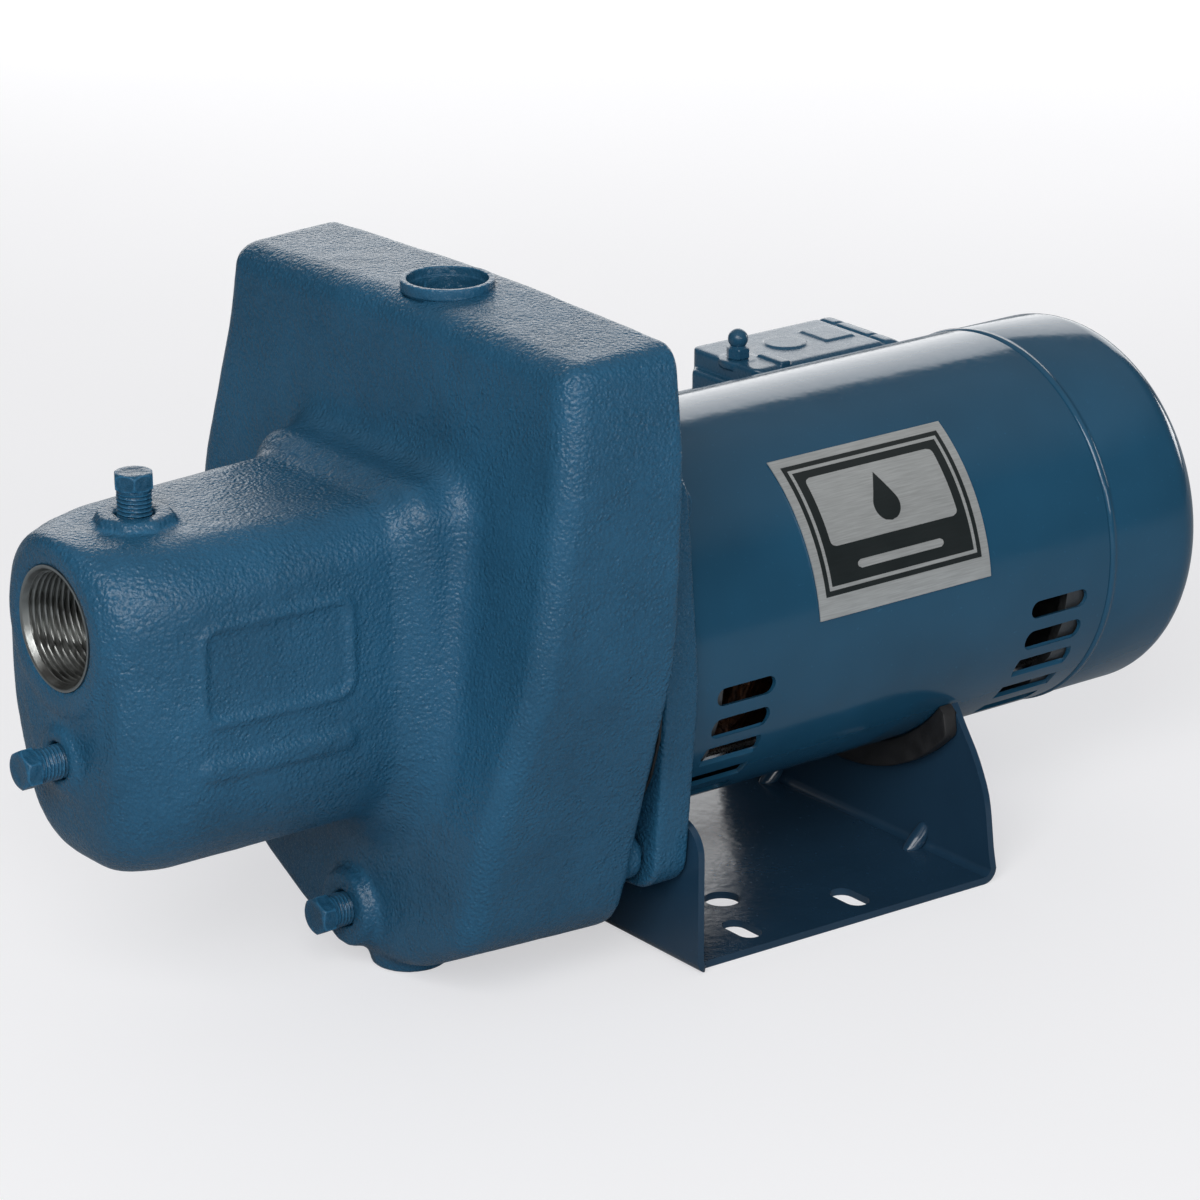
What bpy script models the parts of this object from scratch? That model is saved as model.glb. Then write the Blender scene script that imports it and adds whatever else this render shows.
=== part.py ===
"""Shallow well jet pump: cast pump body with a front ejector nose, seal plate, motor, base and switch.

Metres, +Z up. +X runs along the shaft from the suction port towards the rear of the motor.
The origin is the centre of the underside of the base plate.
"""

import math

import bmesh
import bpy
from mathutils import Matrix, Vector

# ---------------------------------------------------------------- driving dimensions
GAP = 0.0003  # clearance between neighbouring pieces
SHAFT_Z = 0.1076

TANK_BACK_X = -0.095
TANK_TOP_Z = 0.2394
TANK_FACE_TOP_X = -0.1385  # front face of the tank at its top edge
TANK_FACE_SLOPE = 0.125  # how far the front face comes forward per metre of drop
TANK_FACE_LIMIT_Z = 0.070  # below this height the front face stays upright
TANK_EDGE = 0.009  # rounding of the front edge
TANK_WALL = 0.005
TANK_CROWN = 0.0028  # rise of the top's middle over its edges
# corners of the tank's outline on each side from the top down: distance from the middle, height, radius
TANK_NEAR = (
    (0.0985, TANK_TOP_Z, 0.009),
    (0.1030, 0.2000, 0.150),
    (0.0995, 0.1300, 0.110),
    (0.0670, 0.0240, 0.024),
    (0.0260, 0.0030, 0.060),
)
TANK_FAR = (
    (0.1045, TANK_TOP_Z, 0.009),
    (0.1055, 0.2120, 0.120),
    (0.1165, 0.1480, 0.060),
    (0.0670, 0.0240, 0.024),
    (0.0260, 0.0030, 0.060),
)

HUMP_X = -0.168  # front of the shoulder that carries the nose
HUMP_HALF_WIDTH = 0.051
HUMP_TOP_Z = 0.189
HUMP_BOTTOM_Z = 0.056

PORT_Z = 0.1524  # axis of the suction port
NOSE_FACE_X = -0.2773
NOSE_ROOT_X = -0.150
NOSE_HALF_WIDTH = 0.0450
NOSE_TOP_Z = 0.1835
NOSE_BOTTOM_Z = 0.0628
NOSE_WAIST_Z = 0.1200  # height where the nose's sides start to close in
# x, half width, top height, top corner radius, half width at the bottom and bottom height, root to face
NOSE_STATIONS = (
    (NOSE_ROOT_X, NOSE_HALF_WIDTH, NOSE_TOP_Z, 0.014, NOSE_HALF_WIDTH - 0.003, NOSE_BOTTOM_Z),
    (-0.2450, 0.0425, NOSE_TOP_Z - 0.0005, 0.022, 0.0400, NOSE_BOTTOM_Z),
    (-0.2610, 0.0395, NOSE_TOP_Z - 0.0010, 0.024, 0.0335, NOSE_BOTTOM_Z + 0.0025),
    (-0.2700, 0.0360, NOSE_TOP_Z - 0.0010, 0.027, 0.0255, NOSE_BOTTOM_Z + 0.0085),
    (-0.2750, 0.0310, NOSE_TOP_Z - 0.0010, 0.027, 0.0175, NOSE_BOTTOM_Z + 0.0205),
    (NOSE_FACE_X + 0.0015, 0.0240, NOSE_TOP_Z - 0.0040, 0.022, 0.0115, NOSE_BOTTOM_Z + 0.0310),
)
SUCTION_R = 0.0204
SUCTION_LIP_R = 0.0295

DISCHARGE_X = -0.1172
DISCHARGE_TOP_Z = 0.2440
DISCHARGE_LIP_R = 0.0162
DISCHARGE_R = 0.0141

PLUG_R = 0.0060  # thread of the quarter-inch pipe plugs
PLUG_HEAD_R = 0.0072
PLUG_HEAD = 0.0060
PLUG_THREAD = 0.0175
PRIMING_PLUG = (-0.2445, 0.0, 0.1942)  # underside of each plug's head
CLEANOUT_PLUG = (-0.2864, 0.0, 0.1060)
DRAIN_PLUG = (-0.1712, 0.0, 0.0235)
FOOT = (-0.141, -0.006, 0.0)
FOOT_R = 0.014

RING_X = -0.0866  # machined rear face of the pump body
GASKET_T = 0.0010
PLATE_FRONT_X = -0.0850
PLATE_BACK_X = -0.0704
PLATE_HALF = 0.0810  # the plate's half size at the middle of each side
PLATE_EAR_Y = 0.0738  # the corners of its lower and upper ears
PLATE_EAR_Z = (0.0745, 0.0775)
BODY_OPENING_R = 0.0700
PLATE_SCREW_OFFSET = 0.062  # each screw's distance from the shaft axis, along Y and along Z
SCREW_R = 0.0039
SCREW_HEAD_R = 0.0073
SCREW_HEAD = 0.0055

MOTOR_R = 0.0712
SHELL_WALL = 0.0016
MOTOR_SIDES = 48  # facets round the shell and its cap
SHELL_FRONT_X = -0.0680
SHELL_BACK_X = 0.1300
CAP_END_X = 0.1870
CAP_BEND = (0.0200, 0.0340)  # how far the end cap's rounded rim reaches along the shaft and across it
FRONT_VENT_X = (-0.0545, -0.0284)
REAR_VENT_X = (0.0925, 0.1198)
VENT_ANGLES = (-8.2, -18.8, -29.8, -41.6, -53.0)  # degrees below the shaft's level
VENT_HALF_WIDTH = 0.0034
BELL_R = MOTOR_R - SHELL_WALL - GAP
STATOR_X = (-0.010, 0.050)
STATOR_BORE_R = 0.0403
STATOR_SLOTS = 12
WINDING_R = (0.0430, 0.0585)
WINDING_LENGTH = 0.0225
ROTOR_R = 0.0397
THROUGH_BOLT_R = 0.0024
THROUGH_BOLT_OFFSET = 0.0438  # each bolt's distance from the shaft axis, along Y and along Z
CAP_SCREW_Z = (SHAFT_Z + 0.0440, SHAFT_Z - 0.0440)
CAP_POST_X = CAP_END_X - 0.0040  # where the posts that carry the end cap stop
FRONT_BEARING_X = (-0.0585, -0.0475)
FRONT_BEARING_R = 0.0175
REAR_BEARING_X = (0.1095, 0.1195)
REAR_BEARING_R = 0.0160
SHAFT_R = 0.0079
SHAFT_TIP_R = 0.0056
SHAFT_TAIL_R = 0.0060
SHAFT_FRONT_X = -0.1165
SHAFT_BACK_X = 0.1500

IMPELLER_R = 0.0500
IMPELLER_FRONT_X = -0.1155
IMPELLER_BACK_X = -0.0985
IMPELLER_EYE_R = 0.0135
DIFFUSER_R = 0.0640
DIFFUSER_X = (-0.1240, -0.0880)

BASE_T = 0.0027
BASE_FRONT_X = -0.0700
BASE_BACK_X = 0.0700
BASE_HALF_WIDTH = 0.0800
BASE_BEND_R = 0.0055
FRONT_UPRIGHT_TOP_Z = 0.0570
SADDLE_R = 0.0758
SADDLE_HALF_WIDTH = 0.0540
PAD_X = (0.0612, 0.0670, 0.0735)  # front of the pad's band, its seat on the upright, and the back of its lip
PAD_R = 0.0815
PAD_END_ANGLE = 38.5  # degrees below the shaft's level where the band ends
GUSSET_Y = 0.0420  # the two ribs stamped into the rear bend
GUSSET_REACH = 0.0090
GUSSET_HALF_WIDTH = 0.0045
SLOT_CENTRES = ((-0.0353, 0.0618), (0.0138, 0.0632))
SLOT_HALF_WIDTH = 0.0046
SLOT_HALF_LENGTH = 0.0088
ROUND_HOLE = (-0.024, 0.0365, 0.0067)

LABEL_X = (-0.009, 0.071)
LABEL_ANGLES = (6.8, 55.5)
LABEL_T = 0.0004

SWITCH_X = (0.080, 0.162)
SWITCH_Y = (0.0730, 0.1250)
SWITCH_BOTTOM_Z = 0.0880
SWITCH_SEAM_Z = 0.1320
SWITCH_TOP_Z = 0.1545
SWITCH_WALL = 0.0016
SWITCH_STUD = (0.089, 0.096)
INLET = (0.114, 0.105)
LEVER_PIVOT = (0.100, INLET[1], 0.106)
START_ARM_PIVOT = (0.1462, 0.0, SHAFT_Z - 0.0300)
CONDUIT = (0.100, 0.118)  # x and z of the conduit nipple's axis
CONDUIT_R = 0.0105
TUBE_R = 0.0032
TUBE_PORT = (0.090, 0.150)  # y and z of the pressure port in the tank's back wall

BLUE = (0.020, 0.082, 0.150)
STEEL = (0.55, 0.56, 0.58)
DARK_STEEL = (0.16, 0.16, 0.17)
BRASS = (0.66, 0.47, 0.18)
COPPER = (0.72, 0.34, 0.18)
RUBBER = (0.015, 0.015, 0.016)
BLACK = (0.02, 0.02, 0.022)
IVORY = (0.78, 0.74, 0.62)


# ---------------------------------------------------------------- scene and materials
def clear_scene():
    for obj in list(bpy.data.objects):
        bpy.data.objects.remove(obj)


def new_collection(name):
    made = bpy.data.collections.new(name)
    bpy.context.scene.collection.children.link(made)
    return made


clear_scene()
PARTS = new_collection("shallow_well_jet_pump")
HELPERS = new_collection("cutters")


def material(name, colour, roughness=0.4, metallic=0.0):
    made = bpy.data.materials.new(name)
    made.use_nodes = True
    shader = made.node_tree.nodes["Principled BSDF"]
    shader.inputs["Base Color"].default_value = (*colour, 1.0)
    shader.inputs["Roughness"].default_value = roughness
    shader.inputs["Metallic"].default_value = metallic
    return made


def make_part(obj, name, colour, roughness=0.4, metallic=0.0):
    """Names a finished object and gives it its own material."""
    obj.name = name
    obj.data.materials.clear()
    obj.data.materials.append(material(name, colour, roughness, metallic))
    return obj


def smooth(mesh, angle=35.0):
    mesh.shade_smooth()
    mesh.set_sharp_from_angle(angle=math.radians(angle))


def add_object(name, data, helper=False):
    obj = bpy.data.objects.new(name, data)
    (HELPERS if helper else PARTS).objects.link(obj)
    if helper:
        hide(obj)
    return obj


def hide(obj):
    """Makes an object a cutter or a guide."""
    if obj.name in PARTS.objects:
        PARTS.objects.unlink(obj)
        HELPERS.objects.link(obj)
    obj.hide_render = True
    obj.display_type = "WIRE"
    return obj


# ---------------------------------------------------------------- shape builders
def arc(centre, radius, start, end, steps):
    """Points on an arc in a plane, with angles in degrees."""
    turn = [math.radians(start + (end - start) * i / steps) for i in range(steps + 1)]
    return [(centre[0] + radius * math.cos(a), centre[1] + radius * math.sin(a)) for a in turn]


def fillet(before, corner, after, radius, steps):
    """Points on the arc that rounds one corner of a path, in two or three dimensions."""
    corner = Vector(corner)
    to_before = (Vector(before) - corner).normalized()
    to_after = (Vector(after) - corner).normalized()
    half = to_before.angle(to_after) / 2
    reach = radius / math.tan(half)
    centre = corner + (to_before + to_after).normalized() * (radius / math.sin(half))
    first = corner + to_before * reach - centre
    last = corner + to_after * reach - centre
    sweep = first.angle(last)
    points = []
    for i in range(steps + 1):
        t = i / steps
        weight_first = math.sin((1 - t) * sweep) / math.sin(sweep)
        weight_last = math.sin(t * sweep) / math.sin(sweep)
        points.append(centre + first * weight_first + last * weight_last)
    return points


def rounded(corners, steps):
    """A closed outline from (u, v, radius) corners."""
    points = []
    for i, (u, v, radius) in enumerate(corners):
        before = corners[i - 1][:2]
        after = corners[(i + 1) % len(corners)][:2]
        points += [tuple(p) for p in fillet(before, (u, v), after, radius, steps)]
    return points


def loft(name, rings, helper=False):
    """A closed solid through rings of equally many points, first ring to last."""
    bm = bmesh.new()
    loops = [[bm.verts.new(p) for p in ring] for ring in rings]
    count = len(loops[0])
    for low, high in zip(loops, loops[1:]):
        for i in range(count):
            j = (i + 1) % count
            bm.faces.new((low[i], low[j], high[j], high[i]))
    bm.faces.new(reversed(loops[0]))
    bm.faces.new(loops[-1])
    bmesh.ops.recalc_face_normals(bm, faces=bm.faces)
    mesh = bpy.data.meshes.new(name)
    bm.to_mesh(mesh)
    bm.free()
    smooth(mesh)
    return add_object(name, mesh, helper)


ALONG = {
    "X": Matrix.Rotation(math.radians(90), 4, "Y"),
    "-X": Matrix.Rotation(math.radians(-90), 4, "Y"),
    "Y": Matrix.Rotation(math.radians(-90), 4, "X"),
    "Z": Matrix.Identity(4),
}


def turned(name, profile, centre=(0, 0, SHAFT_Z), along="X", steps=32, helper=False):
    """A turned solid. The profile is (distance along the axis, radius), from its high end down the outside.

    A profile that starts and ends on the axis is a solid; any other is closed into a ring.
    """
    mesh = bpy.data.meshes.new(name)
    solid = profile[0][1] == 0 and profile[-1][1] == 0
    edges = [(i, i + 1) for i in range(len(profile) - 1)]
    if not solid:
        edges.append((len(profile) - 1, 0))
    mesh.from_pydata([(r, 0, z) for z, r in profile], edges, [])
    obj = add_object(name, mesh, helper)
    obj.matrix_world = Matrix.Translation(centre) @ ALONG[along]
    screw = obj.modifiers.new("turn", "SCREW")
    screw.axis = "Z"
    screw.steps = screw.render_steps = steps
    screw.use_merge_vertices = True
    screw.merge_threshold = 0.00001
    screw.use_smooth_shade = True
    return obj


def rod(name, low, high, radius, centre=(0, 0, SHAFT_Z), along="X", steps=32, helper=False):
    """A plain cylinder from low to high along its axis."""
    mesh = bpy.data.meshes.new(name)
    bm = bmesh.new()
    bmesh.ops.create_cone(
        bm, cap_ends=True, segments=steps, radius1=radius, radius2=radius, depth=high - low,
        matrix=Matrix.Translation((0, 0, (low + high) / 2)),
    )
    bm.to_mesh(mesh)
    bm.free()
    smooth(mesh)
    obj = add_object(name, mesh, helper)
    obj.matrix_world = Matrix.Translation(centre) @ ALONG[along]
    return obj


def block(name, low, high, bevel=0.0, helper=False):
    """A box between two corners, with its origin at its centre."""
    mesh = bpy.data.meshes.new(name)
    size = [b - a for a, b in zip(low, high)]
    bm = bmesh.new()
    bmesh.ops.create_cube(bm, size=1.0, matrix=Matrix.Diagonal((*size, 1.0)))
    bm.to_mesh(mesh)
    bm.free()
    obj = add_object(name, mesh, helper)
    obj.location = [(a + b) / 2 for a, b in zip(low, high)]
    if bevel:
        edge = obj.modifiers.new("edges", "BEVEL")
        edge.width = bevel
        edge.segments = 2
    return obj


def as_mesh(obj, helper=False):
    """Replaces a curve object by its mesh, with its caps welded on."""
    bpy.context.view_layer.update()
    graph = bpy.context.evaluated_depsgraph_get()
    mesh = bpy.data.meshes.new_from_object(obj.evaluated_get(graph))
    bm = bmesh.new()
    bm.from_mesh(mesh)
    bmesh.ops.remove_doubles(bm, verts=bm.verts, dist=0.000001)
    bm.to_mesh(mesh)
    bm.free()
    name, matrix, curve = obj.name, obj.matrix_world.copy(), obj.data
    bpy.data.objects.remove(obj)
    bpy.data.curves.remove(curve)
    made = add_object(name, mesh, helper)
    made.matrix_world = matrix
    return made


def prism(name, outlines, low, high, along="X", helper=False):
    """Flat outlines, the first one the edge and the others holes, pulled from low to high.

    Outline points are (y, z) for X, (x, z) for Y and (x, y) for Z.
    """
    curve = bpy.data.curves.new(name, "CURVE")
    curve.dimensions = "2D"
    curve.fill_mode = "BOTH"
    curve.extrude = (high - low) / 2
    for outline in outlines:
        spline = curve.splines.new("POLY")
        spline.points.add(len(outline) - 1)
        for point, (u, v) in zip(spline.points, outline):
            point.co = (u, v, 0, 1)
        spline.use_cyclic_u = True
    obj = add_object(name, curve, helper)
    middle = (low + high) / 2
    turn = {
        "X": Matrix(((0, 0, 1, middle), (1, 0, 0, 0), (0, 1, 0, 0), (0, 0, 0, 1))),
        "Y": Matrix(((1, 0, 0, 0), (0, 0, -1, middle), (0, 1, 0, 0), (0, 0, 0, 1))),
        "Z": Matrix.Translation((0, 0, middle)),
    }
    obj.matrix_world = turn[along]
    return as_mesh(obj, helper)


def wire(name, points, radius, bevel_steps=2):
    """A round wire or tube through the points, with closed ends."""
    curve = bpy.data.curves.new(name, "CURVE")
    curve.dimensions = "3D"
    curve.bevel_depth = radius
    curve.bevel_resolution = bevel_steps
    curve.use_fill_caps = True
    spline = curve.splines.new("POLY")
    spline.points.add(len(points) - 1)
    for point, place in zip(spline.points, points):
        point.co = (*place, 1)
    return as_mesh(add_object(name, curve))


def coil(name, centre, low, high, radius, wire_r, turns, along="Z"):
    """A compression spring about an axis."""
    per_turn = 8
    points = []
    for i in range(turns * per_turn + 1):
        t = i / per_turn
        height = low + (high - low) * t / turns
        a = 2 * math.pi * t
        local = Vector((radius * math.cos(a), radius * math.sin(a), height))
        points.append(Vector(centre) + ALONG[along].to_3x3() @ local)
    return wire(name, points, wire_r, 0)


def boolean(target, other, operation):
    step = target.modifiers.new(operation.lower(), "BOOLEAN")
    step.operation = operation
    step.object = hide(other)
    return target


def cut(target, *others):
    for other in others:
        boolean(target, other, "DIFFERENCE")
    return target


def fuse(target, *others):
    for other in others:
        boolean(target, other, "UNION")
    return target


def hex_bolt(name, head_x, head_height, head_r, shank_r, length, centre, along, steps=16):
    """A hexagon head that stands up its axis from head_x, with its shank running the other way."""
    profile = [(head_x + head_height / 2, 0), (head_x + head_height / 2, shank_r),
               (head_x - length, shank_r), (head_x - length, 0)]
    bolt = turned(name, profile, centre, along, steps)
    head = rod(name + "_head", head_x, head_x + head_height, head_r, centre, along, 6)
    return fuse(bolt, head)


def quarter_points(offset):
    """The four places at equal offsets from the shaft axis, as name and (y, z)."""
    return [
        (f"{level}_{side}", (sy * offset, SHAFT_Z + sz * offset))
        for level, sz in (("upper", 1), ("lower", -1))
        for side, sy in (("near", -1), ("far", 1))
    ]


def on_axis(name, place, *nodes):
    """Parents moving pieces to an empty that stands on their joint's axis."""
    empty = bpy.data.objects.new(name, None)
    PARTS.objects.link(empty)
    empty.location = place
    bpy.context.view_layer.update()
    for node in nodes:
        bpy.data.objects[node].parent = empty
        bpy.data.objects[node].matrix_parent_inverse = empty.matrix_world.inverted()


# ---------------------------------------------------------------- pump end
def tank_outline(inset, steps):
    """The tank's outline in (y, z), pulled in by inset."""
    sides = []
    for corners in (TANK_FAR, TANK_NEAR):
        side = [(w - inset, z, max(r - inset, 0.004)) for w, z, r in corners]
        side[0] = (side[0][0], side[0][1] - inset, side[0][2])
        side[-1] = (side[-1][0], side[-1][1] + inset, side[-1][2])
        sides.append(side)
    far, near = sides
    crown = (0.0, TANK_TOP_Z + TANK_CROWN - inset, 1.2)
    return rounded(far + [(-w, z, r) for w, z, r in reversed(near)] + [crown], steps)


def tank_face_x(z):
    """Where the tank's front face lies at a height."""
    drop = TANK_TOP_Z - max(z, TANK_FACE_LIMIT_Z)
    return TANK_FACE_TOP_X - TANK_FACE_SLOPE * drop


def tank_rings(extra_inset, back_x, front_shift, steps=2):
    """Rings from the tank's back to its rounded front edge."""
    back = [(back_x, y, z) for y, z in tank_outline(extra_inset, steps)]
    rings = [back]
    for turn in (0, 30, 60, 90):
        inset = extra_inset + 0.002 + TANK_EDGE * (1 - math.cos(math.radians(turn)))
        shift = TANK_EDGE * (1 - math.sin(math.radians(turn))) + front_shift
        rings.append([(tank_face_x(z) + shift, y, z) for y, z in tank_outline(inset, steps)])
    return rings


def nose_outline(half_width, top_z, corner, low_half_width, bottom_z, steps):
    """A flat-topped outline in (y, z) whose sides close in from the shaft's level to a round bottom."""
    right = [
        (low_half_width, bottom_z, 0.98 * low_half_width),
        (half_width, NOSE_WAIST_Z, 0.080),
        (half_width - 0.0005, top_z, corner),
    ]
    left = [(-y, z, r) for y, z, r in reversed(right)]
    return rounded(right + left, steps)


def nose_rings(steps=4):
    """The nose from its root to the suction face, closing in around the front end."""
    return [
        [(x, y, z) for y, z in nose_outline(width, top, corner, low_width, bottom, steps)]
        for x, width, top, corner, low_width, bottom in NOSE_STATIONS
    ]


def hump_rings():
    """The rounded shoulder between the tank's front face and the nose."""
    rings = []
    for x, inset in ((-0.1400, 0.0), (HUMP_X + 0.009, 0.001), (HUMP_X + 0.003, 0.004), (HUMP_X, 0.010)):
        width = HUMP_HALF_WIDTH - inset
        outline = nose_outline(width, HUMP_TOP_Z - inset, 0.014, width - 0.002, HUMP_BOTTOM_Z + inset, 3)
        rings.append([(x, y, z) for y, z in outline])
    return rings


def plug_bore(name, place, along):
    return rod(name, -PLUG_THREAD - 0.004, 0.004, PLUG_R + 0.0005, place, along, 12, helper=True)


def pump_body():
    body = loft("pump_body", tank_rings(0.0, TANK_BACK_X, 0.0))
    px, _, pz = PRIMING_PLUG
    fuse(
        body,
        loft("hump", hump_rings(), True),
        loft("nose", nose_rings(), True),
        rod("suction_lip", NOSE_FACE_X, -0.262, SUCTION_LIP_R, (0, 0, PORT_Z), "X", 24, True),
        rod("discharge_lip", 0.2150, DISCHARGE_TOP_Z, DISCHARGE_LIP_R, (DISCHARGE_X, 0, 0), "Z", 24, True),
        rod("priming_boss", 0.1720, pz - 0.0078, 0.0138, (px, 0, 0), "Z", 8, True),
        rod("cleanout_boss", -0.2782, -0.262, 0.0105, (0, 0, CLEANOUT_PLUG[2]), "X", 16, True),
        rod("drain_boss", -0.1655, -0.146, 0.0140, (0, 0, DRAIN_PLUG[2]), "X", 16, True),
        rod("foot", 0.0, 0.016, FOOT_R, FOOT, "Z", 16, True),
        rod("mating_ring", -0.097, RING_X, 0.080, steps=32, helper=True),
        *[rod("screw_pad", -0.112, RING_X - 0.0003, 0.0088, (0, y, z), "X", 10, True)
          for _, (y, z) in quarter_points(PLATE_SCREW_OFFSET)],
    )
    axis = (0, 0, CLEANOUT_PLUG[2])
    cut(
        body,
        loft("tank_cavity", tank_rings(TANK_WALL, TANK_BACK_X - 0.0045, TANK_WALL, 1), True),
        rod("rear_opening", -0.104, -0.080, BODY_OPENING_R, helper=True),
        rod("hump_cavity", -0.176, -0.135, 0.030, axis, "X", 16, True),
        rod("discharge_bore", 0.210, 0.250, DISCHARGE_R, (DISCHARGE_X, 0, 0), "Z", 24, True),
        rod("suction_bore", -0.280, -0.256, SUCTION_R, (0, 0, PORT_Z), "X", 24, True),
        rod("suction_pipe", -0.260, -0.190, 0.0175, (0, 0, PORT_Z), "X", 16, True),
        block("suction_drop", (-0.240, -0.014, 0.112), (-0.188, 0.014, 0.150), helper=True),
        rod("suction_chamber", -0.246, -0.182, 0.0240, axis, "X", 16, True),
        rod("drive_chamber", -0.268, -0.252, 0.0140, axis, "X", 16, True),
        rod("nozzle_seat", -0.256, -0.240, 0.0093, axis, "X", 16, True),
        rod("drive_passage", -0.264, -0.145, 0.0060, (0, 0, 0.0735), "X", 12, True),
        rod("drive_riser", 0.0735, 0.100, 0.0055, (-0.260, 0, 0), "Z", 12, True),
        rod("venturi_seat", -0.186, -0.170, 0.0173, axis, "X", 16, True),
        plug_bore("priming_bore", PRIMING_PLUG, "Z"),
        plug_bore("cleanout_bore", CLEANOUT_PLUG, "-X"),
        plug_bore("drain_bore", DRAIN_PLUG, "-X"),
        rod("pressure_bore", -0.104, -0.090, 0.0050, (0, *TUBE_PORT), "X", 12, True),
        *[rod("screw_bore", -0.108, -0.080, SCREW_R + 0.0005, (0, y, z), "X", 8, True)
          for _, (y, z) in quarter_points(PLATE_SCREW_OFFSET)],
    )
    make_part(body, "pump_body", BLUE, 0.42)


def pipe_plug(name, place, along):
    """A hexagon-headed pipe plug. The part of its thread that shows is cut with round grooves."""
    profile = [(PLUG_HEAD / 2, 0), (PLUG_HEAD / 2, PLUG_R)]
    pitch = 0.0019
    for i in range(4):
        z = -0.0006 - i * pitch
        profile += [(z, PLUG_R), (z - 0.35 * pitch, PLUG_R - 0.0008), (z - 0.7 * pitch, PLUG_R)]
    profile += [(-PLUG_THREAD, PLUG_R), (-PLUG_THREAD, 0)]
    plug = turned(name, profile, place, along, 12)
    fuse(plug, rod(name + "_head", 0, PLUG_HEAD, PLUG_HEAD_R, place, along, 6))
    make_part(plug, name, BLUE, 0.4)


def plate_outline(steps=3):
    corners = []
    for u, v in ((1, 0), (0, 1), (-1, 0), (0, -1)):
        corners.append((PLATE_HALF * u, PLATE_HALF * v, 0.110))
        turn_u, turn_v = u - v, v + u
        corners.append((PLATE_EAR_Y * turn_u, PLATE_EAR_Z[turn_v > 0] * turn_v, 0.013))
    return [(y, SHAFT_Z + z) for y, z in rounded(corners, steps)]


def seal_plate():
    plate = prism("seal_plate", [plate_outline()], PLATE_FRONT_X, PLATE_BACK_X)
    register = turned("register", [(-0.0664, 0.050), (-0.0720, 0.050), (-0.0720, 0.045), (-0.0664, 0.045)],
                      steps=24, helper=True)
    spigot = turned("spigot", [(-0.0845, BODY_OPENING_R - GAP), (-0.0900, BODY_OPENING_R - GAP),
                               (-0.0900, 0.0655), (-0.0845, 0.0655)], steps=24, helper=True)
    fuse(plate, register, spigot)
    cut(plate, rod("seal_bore", -0.092, -0.0757, 0.0172, steps=20, helper=True),
        rod("shaft_hole", -0.092, -0.060, 0.0105, steps=16, helper=True),
        *[rod("screw_hole", -0.090, -0.060, SCREW_R + 0.0006, (0, y, z), "X", 8, True)
          for _, (y, z) in quarter_points(PLATE_SCREW_OFFSET)])
    make_part(plate, "seal_plate", BLUE, 0.4)


def body_gasket():
    x = PLATE_FRONT_X - GAP
    gasket = turned("body_gasket", [(x, 0.0795), (x - GASKET_T, 0.0795), (x - GASKET_T, BODY_OPENING_R + GAP),
                                    (x, BODY_OPENING_R + GAP)])
    make_part(gasket, "body_gasket", RUBBER, 0.8)


def diffuser():
    front, back = DIFFUSER_X
    wall = 0.0025
    cup = turned("diffuser", [
        (back, DIFFUSER_R), (front, DIFFUSER_R), (front, 0.0195), (front - 0.0120, 0.0195),
        (front - 0.0120, 0.0170), (front + wall, 0.0178), (front + wall, DIFFUSER_R - wall),
        (back, DIFFUSER_R - wall),
    ])
    vanes = 6
    for i in range(vanes):
        vane = block(f"diffuser_vane_{i}", (front + wall / 2, 0.0515, -0.0012), (-0.1000, DIFFUSER_R - wall / 2, 0.0012))
        turn = Matrix.Rotation(2 * math.pi * i / vanes, 4, "X")
        skew = Matrix.Rotation(math.radians(-14), 4, "X")
        vane.matrix_world = Matrix.Translation((0, 0, SHAFT_Z)) @ turn @ skew @ Matrix.Translation(vane.location)
        fuse(cup, vane)
    make_part(cup, "diffuser", BLACK, 0.5)


def venturi():
    tube = turned("venturi", [
        (-0.1370, 0.0165), (-0.1860, 0.0165), (-0.1860, 0.0120),
        (-0.2200, 0.0100), (-0.2260, 0.0105), (-0.2260, 0.0085), (-0.2180, 0.0050), (-0.2100, 0.0050),
        (-0.1370, 0.0130),
    ], (0, 0, CLEANOUT_PLUG[2]), steps=16)
    make_part(tube, "venturi", BLACK, 0.45)


def venturi_o_ring():
    ring = turned("venturi_o_ring", arc((-0.1672, 0.0182), 0.0013, 0, 300, 5),
                  (0, 0, CLEANOUT_PLUG[2]), steps=16)
    make_part(ring, "venturi_o_ring", RUBBER, 0.7)


def nozzle():
    tube = turned("nozzle", [
        (-0.2285, 0.0045), (-0.2400, 0.0070), (-0.2540, 0.0088), (-0.2545, 0.0115), (-0.2585, 0.0115),
        (-0.2585, 0.0070), (-0.2380, 0.0045), (-0.2285, 0.0028),
    ], (0, 0, CLEANOUT_PLUG[2]), steps=20)
    make_part(tube, "nozzle", BRASS, 0.35, 1.0)


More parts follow.
